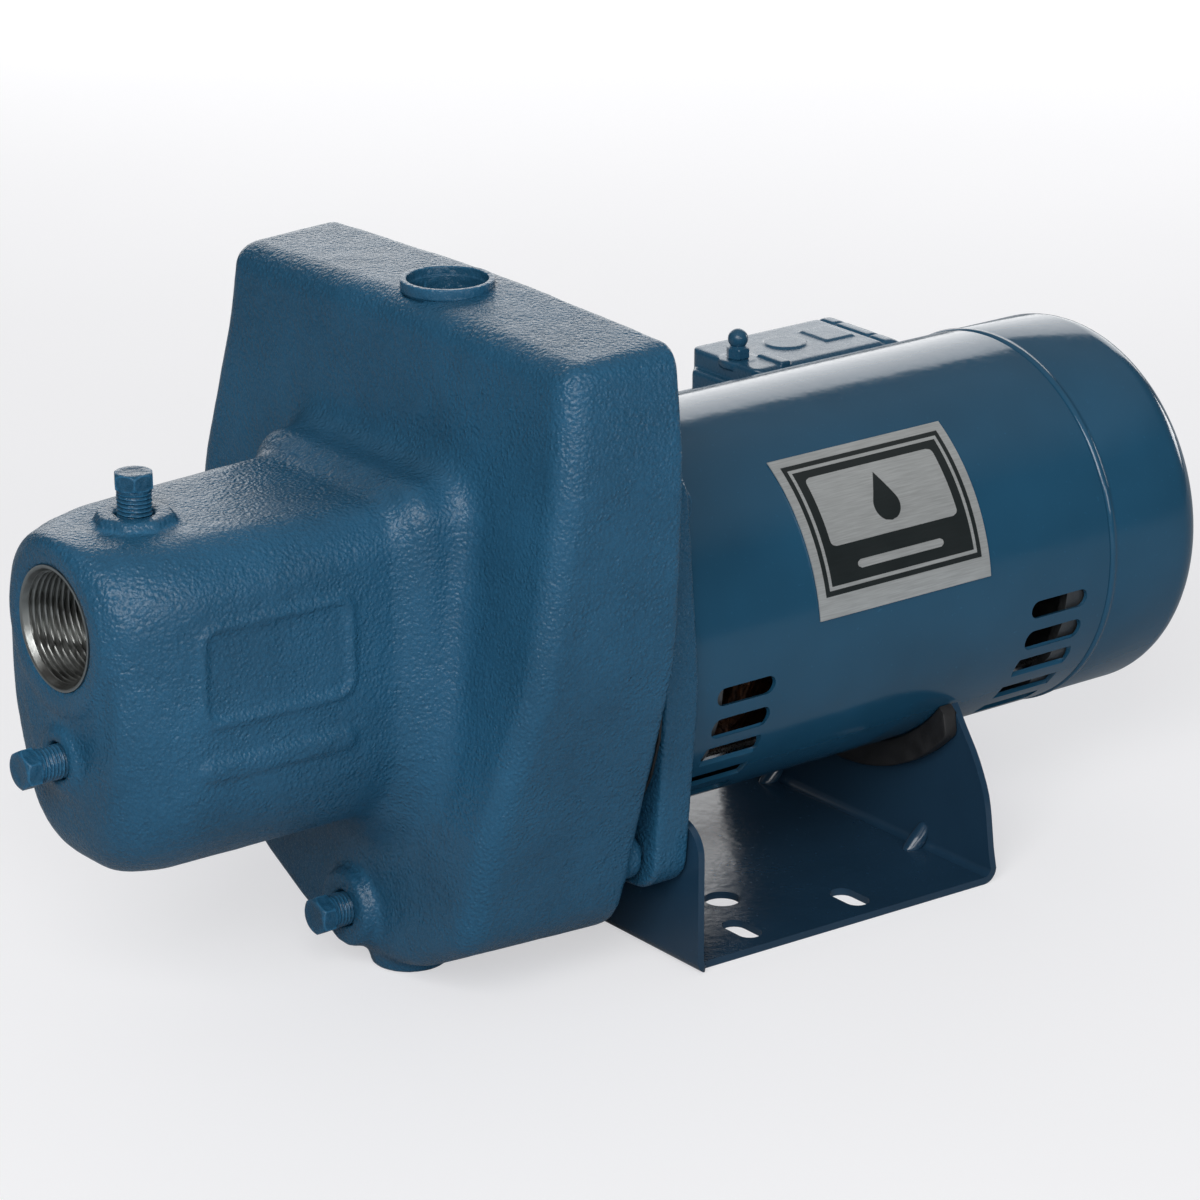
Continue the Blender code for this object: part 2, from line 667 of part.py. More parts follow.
def impeller():
    front, back = IMPELLER_FRONT_X, IMPELLER_BACK_X
    disc = turned("impeller", [
        (back, IMPELLER_R), (back - 0.0025, IMPELLER_R), (back - 0.0035, 0.0110), (front, 0.0105),
        (front, SHAFT_TIP_R + GAP), (back + 0.0010, SHAFT_TIP_R + GAP), (back + 0.0010, 0.0120), (back, 0.0120),
    ], steps=24)
    shroud = turned("shroud", [
        (front + 0.0025, IMPELLER_R), (front, IMPELLER_R), (front - 0.0010, 0.0172), (front - 0.0045, 0.0172),
        (front - 0.0045, IMPELLER_EYE_R + 0.0014), (front + 0.0025, IMPELLER_EYE_R + 0.0020),
    ], steps=24, helper=True)
    vanes = []
    for i in range(5):
        inner, outer = [], []
        for j in range(4):
            t = j / 3
            radius = 0.0160 + (IMPELLER_R - 0.0168) * t
            angle = 2 * math.pi * i / 5 + 1.25 * t
            half = 0.0010 / radius
            inner.append((radius * math.cos(angle - half), SHAFT_Z + radius * math.sin(angle - half)))
            outer.append((radius * math.cos(angle + half), SHAFT_Z + radius * math.sin(angle + half)))
        vanes.append(prism(f"vane_{i}", [inner + outer[::-1]], front + 0.0015, back - 0.0015, helper=True))
    fuse(disc, *vanes, shroud)
    make_part(disc, "impeller", IVORY, 0.45)


def shaft_seal():
    seat = turned("seal_seat", [(-0.0762, 0.0167), (-0.0832, 0.0167), (-0.0832, 0.0095), (-0.0762, 0.0095)],
                  steps=24)
    make_part(seat, "seal_seat", IVORY, 0.3)
    ring = turned("rotary_seal", [(-0.0836, 0.0125), (-0.0860, 0.0125), (-0.0860, 0.0145), (-0.0890, 0.0145),
                                  (-0.0890, SHAFT_R + GAP), (-0.0836, SHAFT_R + GAP)], steps=24)
    make_part(ring, "rotary_seal", DARK_STEEL, 0.5)
    spring = coil("seal_spring", (0, 0, SHAFT_Z), -0.0963, -0.0902, 0.0115, 0.0007, 3, "X")
    make_part(spring, "seal_spring", STEEL, 0.3, 1.0)


def plate_screws():
    for place, (y, z) in quarter_points(PLATE_SCREW_OFFSET):
        behind = BASE_T + 0.0004 if place.startswith("lower") else 0.0
        seat = PLATE_BACK_X + GAP + behind
        screw = hex_bolt("plate_screw_" + place, seat, SCREW_HEAD, SCREW_HEAD_R, SCREW_R,
                         0.0340 + behind, (0, y, z), "X", 12)
        make_part(screw, "plate_screw_" + place, DARK_STEEL, 0.35, 0.9)


# ---------------------------------------------------------------- motor
def polar(angle, radius=MOTOR_R):
    """(y, z) on a circle round the shaft, with angles up from the near side's level."""
    a = math.radians(angle)
    return -radius * math.cos(a), SHAFT_Z + radius * math.sin(a)


def vent_cutter(span, angle, side):
    """A round-ended slot through the shell's wall, one of a ladder of them."""
    low, high = span
    reach = VENT_HALF_WIDTH
    ends = arc((high - reach, 0), reach, -90, 90, 2) + arc((low + reach, 0), reach, 90, 270, 2)
    cutter = prism("vent", [ends], -0.004, 0.004, "Z", True)
    y, z = polar(angle)
    turn = Matrix.Rotation(math.radians(90 + angle) * (1 if side < 0 else -1), 4, "X")
    cutter.matrix_world = Matrix.Translation((0, y * -side, z)) @ turn @ cutter.matrix_world
    return cutter


def motor_shell():
    inner = MOTOR_R - SHELL_WALL
    shell = turned("motor_shell", [(SHELL_BACK_X, MOTOR_R), (SHELL_FRONT_X, MOTOR_R), (SHELL_FRONT_X, inner),
                                   (SHELL_BACK_X, inner)], steps=MOTOR_SIDES)
    vents = [
        vent_cutter(span, angle, side)
        for span in (FRONT_VENT_X, REAR_VENT_X)
        for angle in VENT_ANGLES
        for side in (-1, 1)
    ]
    x, z = CONDUIT
    hole = rod("conduit_hole", 0.055, 0.085, CONDUIT_R + 0.0006, (x, 0, z), "Y", 16, True)
    cut(shell, *vents, hole)
    make_part(shell, "motor_shell", BLUE, 0.22)


def motor_bells():
    low, high = FRONT_BEARING_X
    hole = 0.0110
    front = turned("motor_front_endbell", [
        (-0.0500, BELL_R), (-0.0660, BELL_R), (-0.0660, hole), (-0.0600, hole), (-0.0600, FRONT_BEARING_R + GAP),
        (high + 0.0010, FRONT_BEARING_R + GAP), (high + 0.0010, 0.0235), (-0.0600, 0.0245), (-0.0600, 0.0655),
        (-0.0500, 0.0655),
    ], steps=24)
    make_part(front, "motor_front_endbell", STEEL, 0.5, 0.8)
    low, high = REAR_BEARING_X
    rear = turned("motor_rear_endbell", [
        (0.1285, BELL_R), (0.1120, BELL_R), (0.1120, 0.0655), (0.1225, 0.0655), (0.1225, 0.0225),
        (low - 0.0010, 0.0215), (low - 0.0010, REAR_BEARING_R + GAP), (0.1225, REAR_BEARING_R + GAP),
        (0.1225, 0.0080), (0.1285, 0.0080),
    ], steps=24)
    posts = [rod("cap_post", 0.1250, CAP_POST_X, 0.0040, (0, 0, z), "X", 8, True) for z in CAP_SCREW_Z]
    fuse(rear, *posts)
    cut(rear, *[rod("post_bore", 0.1700, 0.1900, 0.0022, (0, 0, z), "X", 8, True) for z in CAP_SCREW_Z],
        *[rod("bolt_hole", 0.1050, 0.1350, THROUGH_BOLT_R + 0.0005, (0, y, z), "X", 8, True)
          for _, (y, z) in quarter_points(THROUGH_BOLT_OFFSET)])
    make_part(rear, "motor_rear_endbell", STEEL, 0.5, 0.8)


def bearings():
    for name, (low, high), outer, inner in (
        ("front_bearing", FRONT_BEARING_X, FRONT_BEARING_R, SHAFT_R),
        ("rear_bearing", REAR_BEARING_X, REAR_BEARING_R, SHAFT_TAIL_R),
    ):
        middle = (outer + inner) / 2
        ring = turned(name, [
            (high, outer), (low, outer), (low, inner + GAP), (high, inner + GAP), (high - 0.0015, middle),
        ], steps=24)
        make_part(ring, name, STEEL, 0.25, 1.0)


def stator():
    low, high = STATOR_X
    outer_r = BELL_R
    core = turned("stator_core", [(high, outer_r), (low, outer_r), (low, STATOR_BORE_R), (high, STATOR_BORE_R)],
                  steps=32)
    slots = []
    for i in range(STATOR_SLOTS):
        slot = block("stator_slot", (low - 0.001, 0.030, -0.0022), (high + 0.001, 0.055, 0.0022), helper=True)
        turn = Matrix.Rotation(2 * math.pi * i / STATOR_SLOTS, 4, "X")
        slot.matrix_world = Matrix.Translation((0, 0, SHAFT_Z)) @ turn @ Matrix.Translation(slot.location)
        slots.append(slot)
    bolts = [rod("bolt_hole", low - 0.01, high + 0.01, THROUGH_BOLT_R + 0.0006, (0, y, z), "X", 8, True)
             for _, (y, z) in quarter_points(THROUGH_BOLT_OFFSET)]
    cut(core, *slots, *bolts)
    make_part(core, "stator_core", DARK_STEEL, 0.5, 0.7)


def windings():
    low, high = STATOR_X
    inner, outer = WINDING_R
    edge = 0.004
    for name, start, end in (
        ("front_winding", low - GAP - WINDING_LENGTH, low - GAP),
        ("rear_winding", high + GAP, high + GAP + WINDING_LENGTH),
    ):
        ring = turned(name, [
            (end, outer - edge), (end - edge, outer), (start + edge, outer), (start, outer - edge),
            (start, inner + edge), (start + edge, inner), (end - edge, inner), (end, inner + edge),
        ], steps=24)
        make_part(ring, name, COPPER, 0.45, 0.6)


def shaft_and_rotor():
    low, high = STATOR_X
    shaft = turned("motor_shaft", [
        (SHAFT_BACK_X, 0), (SHAFT_BACK_X, SHAFT_TAIL_R), (REAR_BEARING_X[0] - GAP, SHAFT_TAIL_R),
        (REAR_BEARING_X[0] - GAP, SHAFT_R), (-0.0970, SHAFT_R), (-0.0970, SHAFT_TIP_R),
        (SHAFT_FRONT_X, SHAFT_TIP_R), (SHAFT_FRONT_X, 0),
    ], steps=24)
    make_part(shaft, "motor_shaft", STEEL, 0.25, 1.0)
    inner = SHAFT_R + GAP
    core = turned("rotor_core", [
        (high + 0.0080, 0.0380), (high, 0.0380), (high, ROTOR_R), (low, ROTOR_R), (low, 0.0380),
        (low - 0.0080, 0.0380), (low - 0.0080, 0.0260), (low, 0.0260), (low, inner), (high, inner),
        (high, 0.0260), (high + 0.0080, 0.0260),
    ], steps=24)
    make_part(core, "rotor_core", DARK_STEEL, 0.4, 0.8)
    slinger = turned("water_slinger", [(-0.0668, 0.0200), (-0.0680, 0.0205), (-0.0696, 0.0120),
                                       (-0.0696, inner), (-0.0668, inner)], steps=24)
    make_part(slinger, "water_slinger", RUBBER, 0.7)


def governor():
    inner = SHAFT_TAIL_R + GAP
    hub = turned("governor", [(0.1345, 0.0160), (0.1300, 0.0160), (0.1300, inner), (0.1365, inner),
                              (0.1365, 0.0085), (0.1345, 0.0085)], steps=16)
    for y in (-0.0185, 0.0185):
        fuse(hub, block("weight", (0.1305, y - 0.004, SHAFT_Z - 0.006), (0.1375, y + 0.004, SHAFT_Z + 0.006),
                        helper=True))
    make_part(hub, "governor", DARK_STEEL, 0.4, 0.7)
    collar = turned("governor_collar", [(0.1440, 0.0130), (0.1425, 0.0130), (0.1425, 0.0085), (0.1400, 0.0085),
                                        (0.1400, inner), (0.1440, inner)], steps=20)
    make_part(collar, "governor_collar", BLACK, 0.5)


def start_switch_arm():
    x, _, z = START_ARM_PIVOT
    arm = block("start_switch_arm", (x - 0.0016, -0.0040, z), (x - 0.0006, 0.0040, SHAFT_Z - 0.0080))
    fuse(arm, rod("arm_pivot", -0.0060, 0.0060, 0.0018, START_ARM_PIVOT, "Y", 12, True))
    make_part(arm, "start_switch_arm", BRASS, 0.4, 1.0)


def motor_inside():
    z = SHAFT_Z
    board = block("terminal_board", (0.1500, -0.0300, z + 0.0160), (0.1530, 0.0300, z + 0.0380))
    studs = [rod("stud", 0.1480, 0.1600, 0.0021, (0, y, z + 0.0270), "X", 8, True) for y in (-0.022, 0.0, 0.022)]
    fuse(board, *studs)
    make_part(board, "terminal_board", BLACK, 0.5)
    can = turned("capacitor", [
        (0.0250, 0), (0.0250, 0.0030), (0.0210, 0.0030), (0.0210, 0.0130), (0.0190, 0.0145), (-0.0230, 0.0145),
        (-0.0240, 0.0135), (-0.0240, 0),
    ], (0.1640, 0.0, z - 0.0245), "Y", 24)
    make_part(can, "capacitor", BLACK, 0.4)


def motor_end_cap():
    outer, wall, seam = MOTOR_R, SHELL_WALL, SHELL_BACK_X + 0.0004
    along, across = CAP_BEND
    turns = arc((0, 0), 1.0, 0, 90, 4)
    outside = [(CAP_END_X - along + along * c, outer - across + across * s) for c, s in turns]
    inside = [(CAP_END_X - along + (along - wall) * c, outer - across + (across - wall) * s) for c, s in turns]
    profile = [(CAP_END_X, 0)] + outside + [(seam, outer), (seam, outer - wall)]
    profile += inside[::-1] + [(CAP_END_X - wall, 0)]
    cap = turned("motor_end_cap", profile, steps=MOTOR_SIDES)
    cut(cap, *[rod("cap_hole", 0.1800, 0.1900, 0.0026, (0, 0, z), "X", 12, True) for z in CAP_SCREW_Z])
    make_part(cap, "motor_end_cap", BLUE, 0.22)
    for place, z in zip(("upper", "lower"), CAP_SCREW_Z):
        head = CAP_END_X + GAP
        screw = turned("cap_screw_" + place, [
            (head + 0.0024, 0), (head + 0.0022, 0.0025), (head + 0.0009, 0.0044), (head, 0.0046),
            (head, 0.0019), (head - 0.0120, 0.0019), (head - 0.0120, 0),
        ], (0, 0, z), "X", 16)
        make_part(screw, "cap_screw_" + place, DARK_STEEL, 0.35, 0.9)


def through_bolts():
    for place, (y, z) in quarter_points(THROUGH_BOLT_OFFSET):
        bolt = hex_bolt("through_bolt_" + place, 0.1288, 0.0040, 0.0046, THROUGH_BOLT_R, 0.1880, (0, y, z), "X", 10)
        make_part(bolt, "through_bolt_" + place, STEEL, 0.35, 1.0)


def name_label():
    """A thin plate bent round the shell."""
    mesh = bpy.data.meshes.new("name_label")
    bm = bmesh.new()
    bmesh.ops.create_grid(bm, x_segments=2, y_segments=12, size=0.5)
    middle_x, width = sum(LABEL_X) / 2, LABEL_X[1] - LABEL_X[0]
    middle_a, spread = sum(LABEL_ANGLES) / 2, LABEL_ANGLES[1] - LABEL_ANGLES[0]
    for vert in bm.verts:
        y, z = polar(middle_a + spread * vert.co.y, MOTOR_R + GAP)
        vert.co = (middle_x + width * vert.co.x, y, z)
    bm.to_mesh(mesh)
    bm.free()
    label = add_object("name_label", mesh)
    thick = label.modifiers.new("thickness", "SOLIDIFY")
    thick.thickness = LABEL_T
    thick.offset = 1.0
    make_part(label, "name_label", (0.62, 0.63, 0.64), 0.35, 0.8)


# ---------------------------------------------------------------- base
def base_strip(name, half):
    """One half of the bent U strip: its upright, its bend and half the floor, as a full-width prism."""
    top = 0.080
    end = BASE_FRONT_X if half < 0 else BASE_BACK_X
    inner_x = end - half * BASE_T
    bend_x = end - half * BASE_BEND_R
    outer_arc = arc((bend_x, BASE_BEND_R), BASE_BEND_R, 270, 270 + half * 90, 4)
    inner_arc = arc((bend_x, BASE_BEND_R), BASE_BEND_R - BASE_T, 270 + half * 90, 270, 4)
    outline = [(-half * 0.001, 0)] + outer_arc + [(end, top), (inner_x, top)] + inner_arc
    outline += [(-half * 0.001, BASE_T)]
    return prism(name, [outline], -BASE_HALF_WIDTH, BASE_HALF_WIDTH, "Y", half < 0)


def base():
    rear_side = [(BASE_HALF_WIDTH - 0.0015, -0.001), (0.0785, 0.012), (0.0757, 0.030), (0.0697, 0.044),
                 (0.0610, 0.0565), (0.0564, 0.0632)]
    half_angle = math.degrees(math.asin(SADDLE_HALF_WIDTH / SADDLE_R))
    saddle = arc((0, SHAFT_Z), SADDLE_R, -90 + half_angle, -90 - half_angle, 12)
    rear_outline = rear_side + saddle + [(-y, z) for y, z in reversed(rear_side)]
    front_corners = ((0.0800, -0.001, 0.0001), (0.0800, FRONT_UPRIGHT_TOP_Z - 0.004, 0.012),
                     (0.0560, FRONT_UPRIGHT_TOP_Z + 0.003, 0.004), (0.0480, 0.0500, 0.004),
                     (0.0200, 0.0270, 0.020))
    mirrored = tuple((-y, z, r) for y, z, r in reversed(front_corners))
    front_outline = rounded(front_corners + mirrored, 3)
    rear = base_strip("base", 1)
    boolean(rear, prism("rear_shape", [rear_outline], -0.002, 0.090, helper=True), "INTERSECT")
    front = base_strip("base_front", -1)
    boolean(front, prism("front_shape", [front_outline], -0.090, 0.002, helper=True), "INTERSECT")
    inner_x, inner_z = BASE_BACK_X - BASE_T, BASE_T
    rib = [(inner_x + 0.001, inner_z - 0.001), (inner_x + 0.001, inner_z + GUSSET_REACH),
           (inner_x - GUSSET_REACH, inner_z - 0.001)]
    gussets = [prism("gusset", [rib], side * GUSSET_Y - GUSSET_HALF_WIDTH, side * GUSSET_Y + GUSSET_HALF_WIDTH,
                     "Y", True) for side in (-1, 1)]
    fuse(rear, front, *gussets)
    for x, y in SLOT_CENTRES:
        for side in (-1, 1):
            reach = SLOT_HALF_LENGTH - SLOT_HALF_WIDTH
            ends = arc((x, side * y + reach), SLOT_HALF_WIDTH, 0, 180, 5)
            ends += arc((x, side * y - reach), SLOT_HALF_WIDTH, 180, 360, 5)
            cut(rear, prism("slot", [ends], -0.002, 0.006, "Z", True))
    x, y, radius = ROUND_HOLE
    for side in (-1, 1):
        cut(rear, rod("round_hole", -0.002, 0.006, radius, (x, side * y, 0), "Z", 20, True))
    for place, (y, z) in quarter_points(PLATE_SCREW_OFFSET):
        if place.startswith("lower"):
            cut(rear, rod("upright_hole", -0.075, -0.060, SCREW_R + 0.0005, (0, y, z), "X", 12, True))
    make_part(rear, "base", BLUE, 0.25)


def motor_pad():
    """The rubber pad that the motor's rear rests on. A lip behind its band lies in the base's saddle."""
    front, seat, back = PAD_X
    inner = MOTOR_R + GAP
    band = turned("motor_pad", [(seat, PAD_R), (front, PAD_R), (front, inner), (seat, inner)], steps=64)
    ends = [polar(-PAD_END_ANGLE, 0.150), polar(180 + PAD_END_ANGLE, 0.150)]
    span = prism("pad_span", [[(0, SHAFT_Z)] + ends], front - 0.002, back + 0.002, helper=True)
    boolean(band, span, "INTERSECT")
    low = seat - 0.001
    lip = turned("pad_lip", [(back, SADDLE_R - GAP), (low, SADDLE_R - GAP), (low, inner), (back, inner)],
                 steps=64, helper=True)
    half = SADDLE_HALF_WIDTH - 0.003
    boolean(lip, block("lip_span", (front, -half, 0.020), (back + 0.002, half, 0.066), helper=True), "INTERSECT")
    fuse(band, lip)
    make_part(band, "motor_pad", RUBBER, 0.75)


# ---------------------------------------------------------------- pressure switch
def hollow_box(name, low, high, wall, open_top):
    """A box shell, open at its top or at its bottom."""
    box = block(name, low, high)
    inner_low = [a + wall for a in low]
    inner_high = [b - wall for b in high]
    if open_top:
        inner_high[2] = high[2] + 0.01
    else:
        inner_low[2] = low[2] - 0.01
    cut(box, block(name + "_inside", inner_low, inner_high, helper=True))
    return box


def switch_case():
    (x0, x1), (y0, y1) = SWITCH_X, SWITCH_Y
    tray = hollow_box("switch_base", (x0, y0, SWITCH_BOTTOM_Z), (x1, y1, SWITCH_SEAM_Z), SWITCH_WALL, True)
    sx, sy = SWITCH_STUD
    stud = rod("cover_stud", SWITCH_BOTTOM_Z + 0.0010, SWITCH_TOP_Z + 0.0040, 0.0020, (sx, sy, 0), "Z", 12, True)
    fuse(tray, stud)
    cx, cz = CONDUIT
    cut(tray, rod("plunger_hole", 0.080, 0.095, 0.0045, (*INLET, 0), "Z", 16, True),
        rod("conduit_entry", 0.060, 0.085, CONDUIT_R + GAP, (cx, 0, cz), "Y", 16, True))
    make_part(tray, "switch_base", BLUE, 0.3)
    cover = hollow_box("switch_cover", (x0, y0, SWITCH_SEAM_Z + GAP), (x1, y1, SWITCH_TOP_Z), SWITCH_WALL, False)
    cut(cover, rod("stud_hole", 0.145, 0.165, 0.0025, (sx, sy, 0), "Z", 12, True))
    make_part(cover, "switch_cover", BLUE, 0.25)
    base_z = SWITCH_TOP_Z + GAP
    nut = turned("cover_nut", [
        (base_z + 0.0115, 0), (base_z + 0.0107, 0.0024), (base_z + 0.0085, 0.0037), (base_z + 0.0060, 0.0041),
        (base_z + 0.0060, 0.0047), (base_z, 0.0047), (base_z, 0.0024), (base_z + 0.0060, 0.0024),
        (base_z + 0.0060, 0),
    ], (sx, sy, 0), "Z", 12)
    make_part(nut, "cover_nut", BLUE, 0.3)


def switch_works():
    sx, sy = SWITCH_STUD
    floor_z = SWITCH_BOTTOM_Z + SWITCH_WALL
    make_part(coil("range_spring", (sx, sy, 0), floor_z + 0.0020, 0.1350, 0.0060, 0.0009, 6), "range_spring",
              STEEL, 0.3, 1.0)
    make_part(coil("differential_spring", (0.124, 0.088, 0), floor_z + 0.0020, 0.1180, 0.0042, 0.0007, 5),
              "differential_spring", STEEL, 0.3, 1.0)
    x, y = INLET
    inlet = turned("switch_inlet", [
        (0.0877, 0.0195), (0.0800, 0.0195), (0.0785, 0.0150), (0.0760, 0.0090), (0.0650, 0.0090),
        (0.0650, TUBE_R + GAP), (0.0840, TUBE_R + GAP), (0.0840, 0.0150), (0.0877, 0.0150),
    ], (x, y, 0), "Z", 16)
    make_part(inlet, "switch_inlet", DARK_STEEL, 0.4, 0.8)
    plunger = turned("diaphragm_plunger", [
        (0.1050, 0), (0.1050, 0.0040), (0.0870, 0.0040), (0.0868, 0.0145), (0.0845, 0.0145), (0.0845, 0),
    ], (x, y, 0), "Z", 16)
    make_part(plunger, "diaphragm_plunger", BLACK, 0.5)
    px, _, pz = LEVER_PIVOT
    lever = block("contact_lever", (px, y - 0.006, pz - 0.0006), (0.1500, y + 0.006, pz + 0.0006))
    fuse(lever, rod("lever_pin", y - 0.008, y + 0.008, 0.0018, (px, 0, pz), "Y", 12, True))
    make_part(lever, "contact_lever", BRASS, 0.35, 1.0)


def pressure_line():
    y, z = TUBE_PORT
    fitting = rod("tube_fitting", -0.0946, -0.0830, 0.0075, (0, y, z), "X", 6)
    fuse(fitting, rod("fitting_thread", -0.1010, -0.0940, 0.0046, (0, y, z), "X", 12, True))
    cut(fitting, rod("fitting_bore", -0.0900, -0.0800, TUBE_R + GAP, (0, y, z), "X", 16, True))
    make_part(fitting, "tube_fitting", BRASS, 0.35, 1.0)
    x_in, y_in = INLET
    corners = [(-0.0880, y, z), (0.0120, y, z), (0.0400, y_in, 0.0500), (x_in, y_in, 0.0500), (x_in, y_in, 0.0820)]
    path = [corners[0]]
    for before, corner, after in zip(corners, corners[1:], corners[2:]):
        path += fillet(before, corner, after, 0.0120, 5)
    path.append(corners[-1])
    make_part(wire("pressure_tube", path, TUBE_R), "pressure_tube", COPPER, 0.3, 1.0)
    cx, cz = CONDUIT
    nipple = turned("conduit_nipple", [(0.0800, CONDUIT_R), (0.0630, CONDUIT_R), (0.0630, 0.0088), (0.0800, 0.0088)],
                    (cx, 0, cz), "Y", 20)
    make_part(nipple, "conduit_nipple", STEEL, 0.4, 0.9)


# ---------------------------------------------------------------- the pump
pump_body()
pipe_plug("priming_plug", PRIMING_PLUG, "Z")
pipe_plug("cleanout_plug", CLEANOUT_PLUG, "-X")
pipe_plug("drain_plug", DRAIN_PLUG, "-X")
seal_plate()
body_gasket()
diffuser()
venturi()
venturi_o_ring()
nozzle()
impeller()
shaft_seal()
plate_screws()
motor_shell()
motor_bells()
bearings()
stator()
windings()
shaft_and_rotor()
governor()
start_switch_arm()
motor_inside()
motor_end_cap()
through_bolts()
name_label()
base()
motor_pad()
switch_case()
switch_works()
pressure_line()

on_axis("shaft_axis", (0, 0, SHAFT_Z), "motor_shaft", "rotor_core", "impeller", "rotary_seal", "seal_spring",
        "water_slinger", "governor", "governor_collar")
on_axis("start_switch_axis", START_ARM_PIVOT, "start_switch_arm")
on_axis("end_cap_axis", (CAP_END_X, 0, SHAFT_Z), "motor_end_cap", "cap_screw_upper", "cap_screw_lower")
on_axis("cover_axis", (*SWITCH_STUD, SWITCH_TOP_Z), "switch_cover", "cover_nut")
on_axis("plunger_axis", (*INLET, SWITCH_BOTTOM_Z), "diaphragm_plunger")
on_axis("contact_lever_axis", LEVER_PIVOT, "contact_lever")
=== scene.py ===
"""Looks of the shallow well jet pump: fine surfaces, threads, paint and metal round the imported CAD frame.

Metres, +Z up, in the CAD model's frame: +X runs along the shaft to the motor's rear.
-Y is the side with the label, called near, and +Y the side with the pressure switch, called far.
"""

import math

import bmesh
import bpy
import numpy as np
import openvdb
from mathutils import Matrix, Vector, noise


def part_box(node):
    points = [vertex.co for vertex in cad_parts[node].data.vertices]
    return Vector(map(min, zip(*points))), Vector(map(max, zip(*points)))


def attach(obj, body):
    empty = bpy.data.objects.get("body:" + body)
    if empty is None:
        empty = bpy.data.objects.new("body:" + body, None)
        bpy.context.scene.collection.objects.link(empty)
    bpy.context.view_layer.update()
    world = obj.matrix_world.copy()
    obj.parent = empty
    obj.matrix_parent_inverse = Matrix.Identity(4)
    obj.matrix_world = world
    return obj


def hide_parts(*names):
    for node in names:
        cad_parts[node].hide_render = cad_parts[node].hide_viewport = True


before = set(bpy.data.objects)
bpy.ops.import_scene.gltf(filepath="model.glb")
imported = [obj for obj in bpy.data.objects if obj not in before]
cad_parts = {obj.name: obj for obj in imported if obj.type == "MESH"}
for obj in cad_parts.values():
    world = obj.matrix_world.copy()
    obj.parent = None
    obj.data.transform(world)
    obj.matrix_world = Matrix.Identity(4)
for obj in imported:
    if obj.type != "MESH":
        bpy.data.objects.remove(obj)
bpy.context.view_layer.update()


# ---------------------------------------------------------------- sizes taken from the frame
def middle(node):
    low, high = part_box(node)
    return (low + high) / 2


def span(node, axis):
    """Lowest and highest coordinate of a node along x, y or z."""
    low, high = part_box(node)
    index = "xyz".index(axis)
    return low[index], high[index]


SHAFT_Z = middle("motor_shaft").z
NOSE_FACE_X = -0.2773  # machined face round the suction port
DISCHARGE_TOP_Z = span("pump_body", "z")[1]
RING_X = span("pump_body", "x")[1]
MOTOR_R = (span("motor_end_cap", "y")[1] - span("motor_end_cap", "y")[0]) / 2
SHELL_X = span("motor_shell", "x")
CAP_X = span("motor_end_cap", "x")
BASE_X = span("base", "x")
PAD_X = span("motor_pad", "x")
LABEL_X = span("name_label", "x")
PLUG_HEAD = 0.0060
PLUG_SEATS = {  # underside of each pipe plug's head
    "priming_plug": (middle("priming_plug").x, 0.0, span("priming_plug", "z")[1] - PLUG_HEAD),
    "cleanout_plug": (span("cleanout_plug", "x")[0] + PLUG_HEAD, 0.0, middle("cleanout_plug").z),
    "drain_plug": (span("drain_plug", "x")[0] + PLUG_HEAD, 0.0, middle("drain_plug").z),
}
PLUG_ALONG = {"priming_plug": "Z", "cleanout_plug": "-X", "drain_plug": "-X"}

# ---------------------------------------------------------------- sizes of the casting
TANK_BACK_X = -0.095
TANK_TOP_Z = 0.2394
TANK_FACE_TOP_X = -0.1385
TANK_FACE_SLOPE = 0.125
TANK_FACE_LIMIT_Z = 0.070
TANK_EDGE = 0.009
TANK_DRAFT = 0.002
TANK_WALL = 0.005
TANK_CROWN = 0.0028
# distance from the middle, height, corner radius, from the top down
TANK_NEAR = (
    (0.0985, TANK_TOP_Z, 0.009),
    (0.1030, 0.2000, 0.150),
    (0.0995, 0.1300, 0.110),
    (0.0670, 0.0240, 0.024),
    (0.0260, 0.0030, 0.060),
)
TANK_FAR = (
    (0.1045, TANK_TOP_Z, 0.009),
    (0.1055, 0.2120, 0.120),
    (0.1165, 0.1480, 0.060),
    (0.0670, 0.0240, 0.024),
    (0.0260, 0.0030, 0.060),
)
HUMP_X = -0.168
HUMP_OUTLINE = (0.051, 0.189, 0.014, 0.049, 0.056)
HUMP_EDGE = 0.010
PORT_Z = 0.1524
NOSE_WAIST_Z = 0.1200
# x, half width, top height, top corner radius, half width at the bottom, bottom height
NOSE_STATIONS = (
    (-0.1500, 0.0450, 0.1835, 0.014, 0.0420, 0.0628),
    (-0.2450, 0.0425, 0.1830, 0.022, 0.0400, 0.0628),
    (-0.2610, 0.0395, 0.1825, 0.024, 0.0335, 0.0653),
    (-0.2700, 0.0360, 0.1825, 0.027, 0.0255, 0.0713),
    (-0.2750, 0.0310, 0.1825, 0.027, 0.0175, 0.0833),
    (-0.2758, 0.0240, 0.1795, 0.022, 0.0115, 0.0938),
)
SUCTION_R = 0.0204
SUCTION_LIP_R = 0.0295
SUCTION_PIPE_R = 0.0175
SLEEVE_R = 0.0214
DISCHARGE_X = -0.1172
DISCHARGE_LIP_R = 0.0162
DISCHARGE_R = 0.0141
PLUG_R = 0.0060
PLUG_BORE_R = PLUG_R + 0.0004
PRIMING_BOSS_R = 0.0138
CLEANOUT_BOSS_R = 0.0105
DRAIN_BOSS_R = 0.0140
FOOT = (-0.141, -0.006)
FOOT_R = 0.0140
PUMP_OPENING_R = 0.0700  # round opening in the casting's rear face
RING_R = 0.080
SCREW_OFFSET = 0.062  # of each plate screw from the shaft's axis, along Y and along Z
SCREW_PAD_R = 0.0088
DRIVE_X, DRIVE_Z = -0.260, 0.0735  # riser and passage that bring the drive water to the nozzle
CAST_CELL = 0.00125


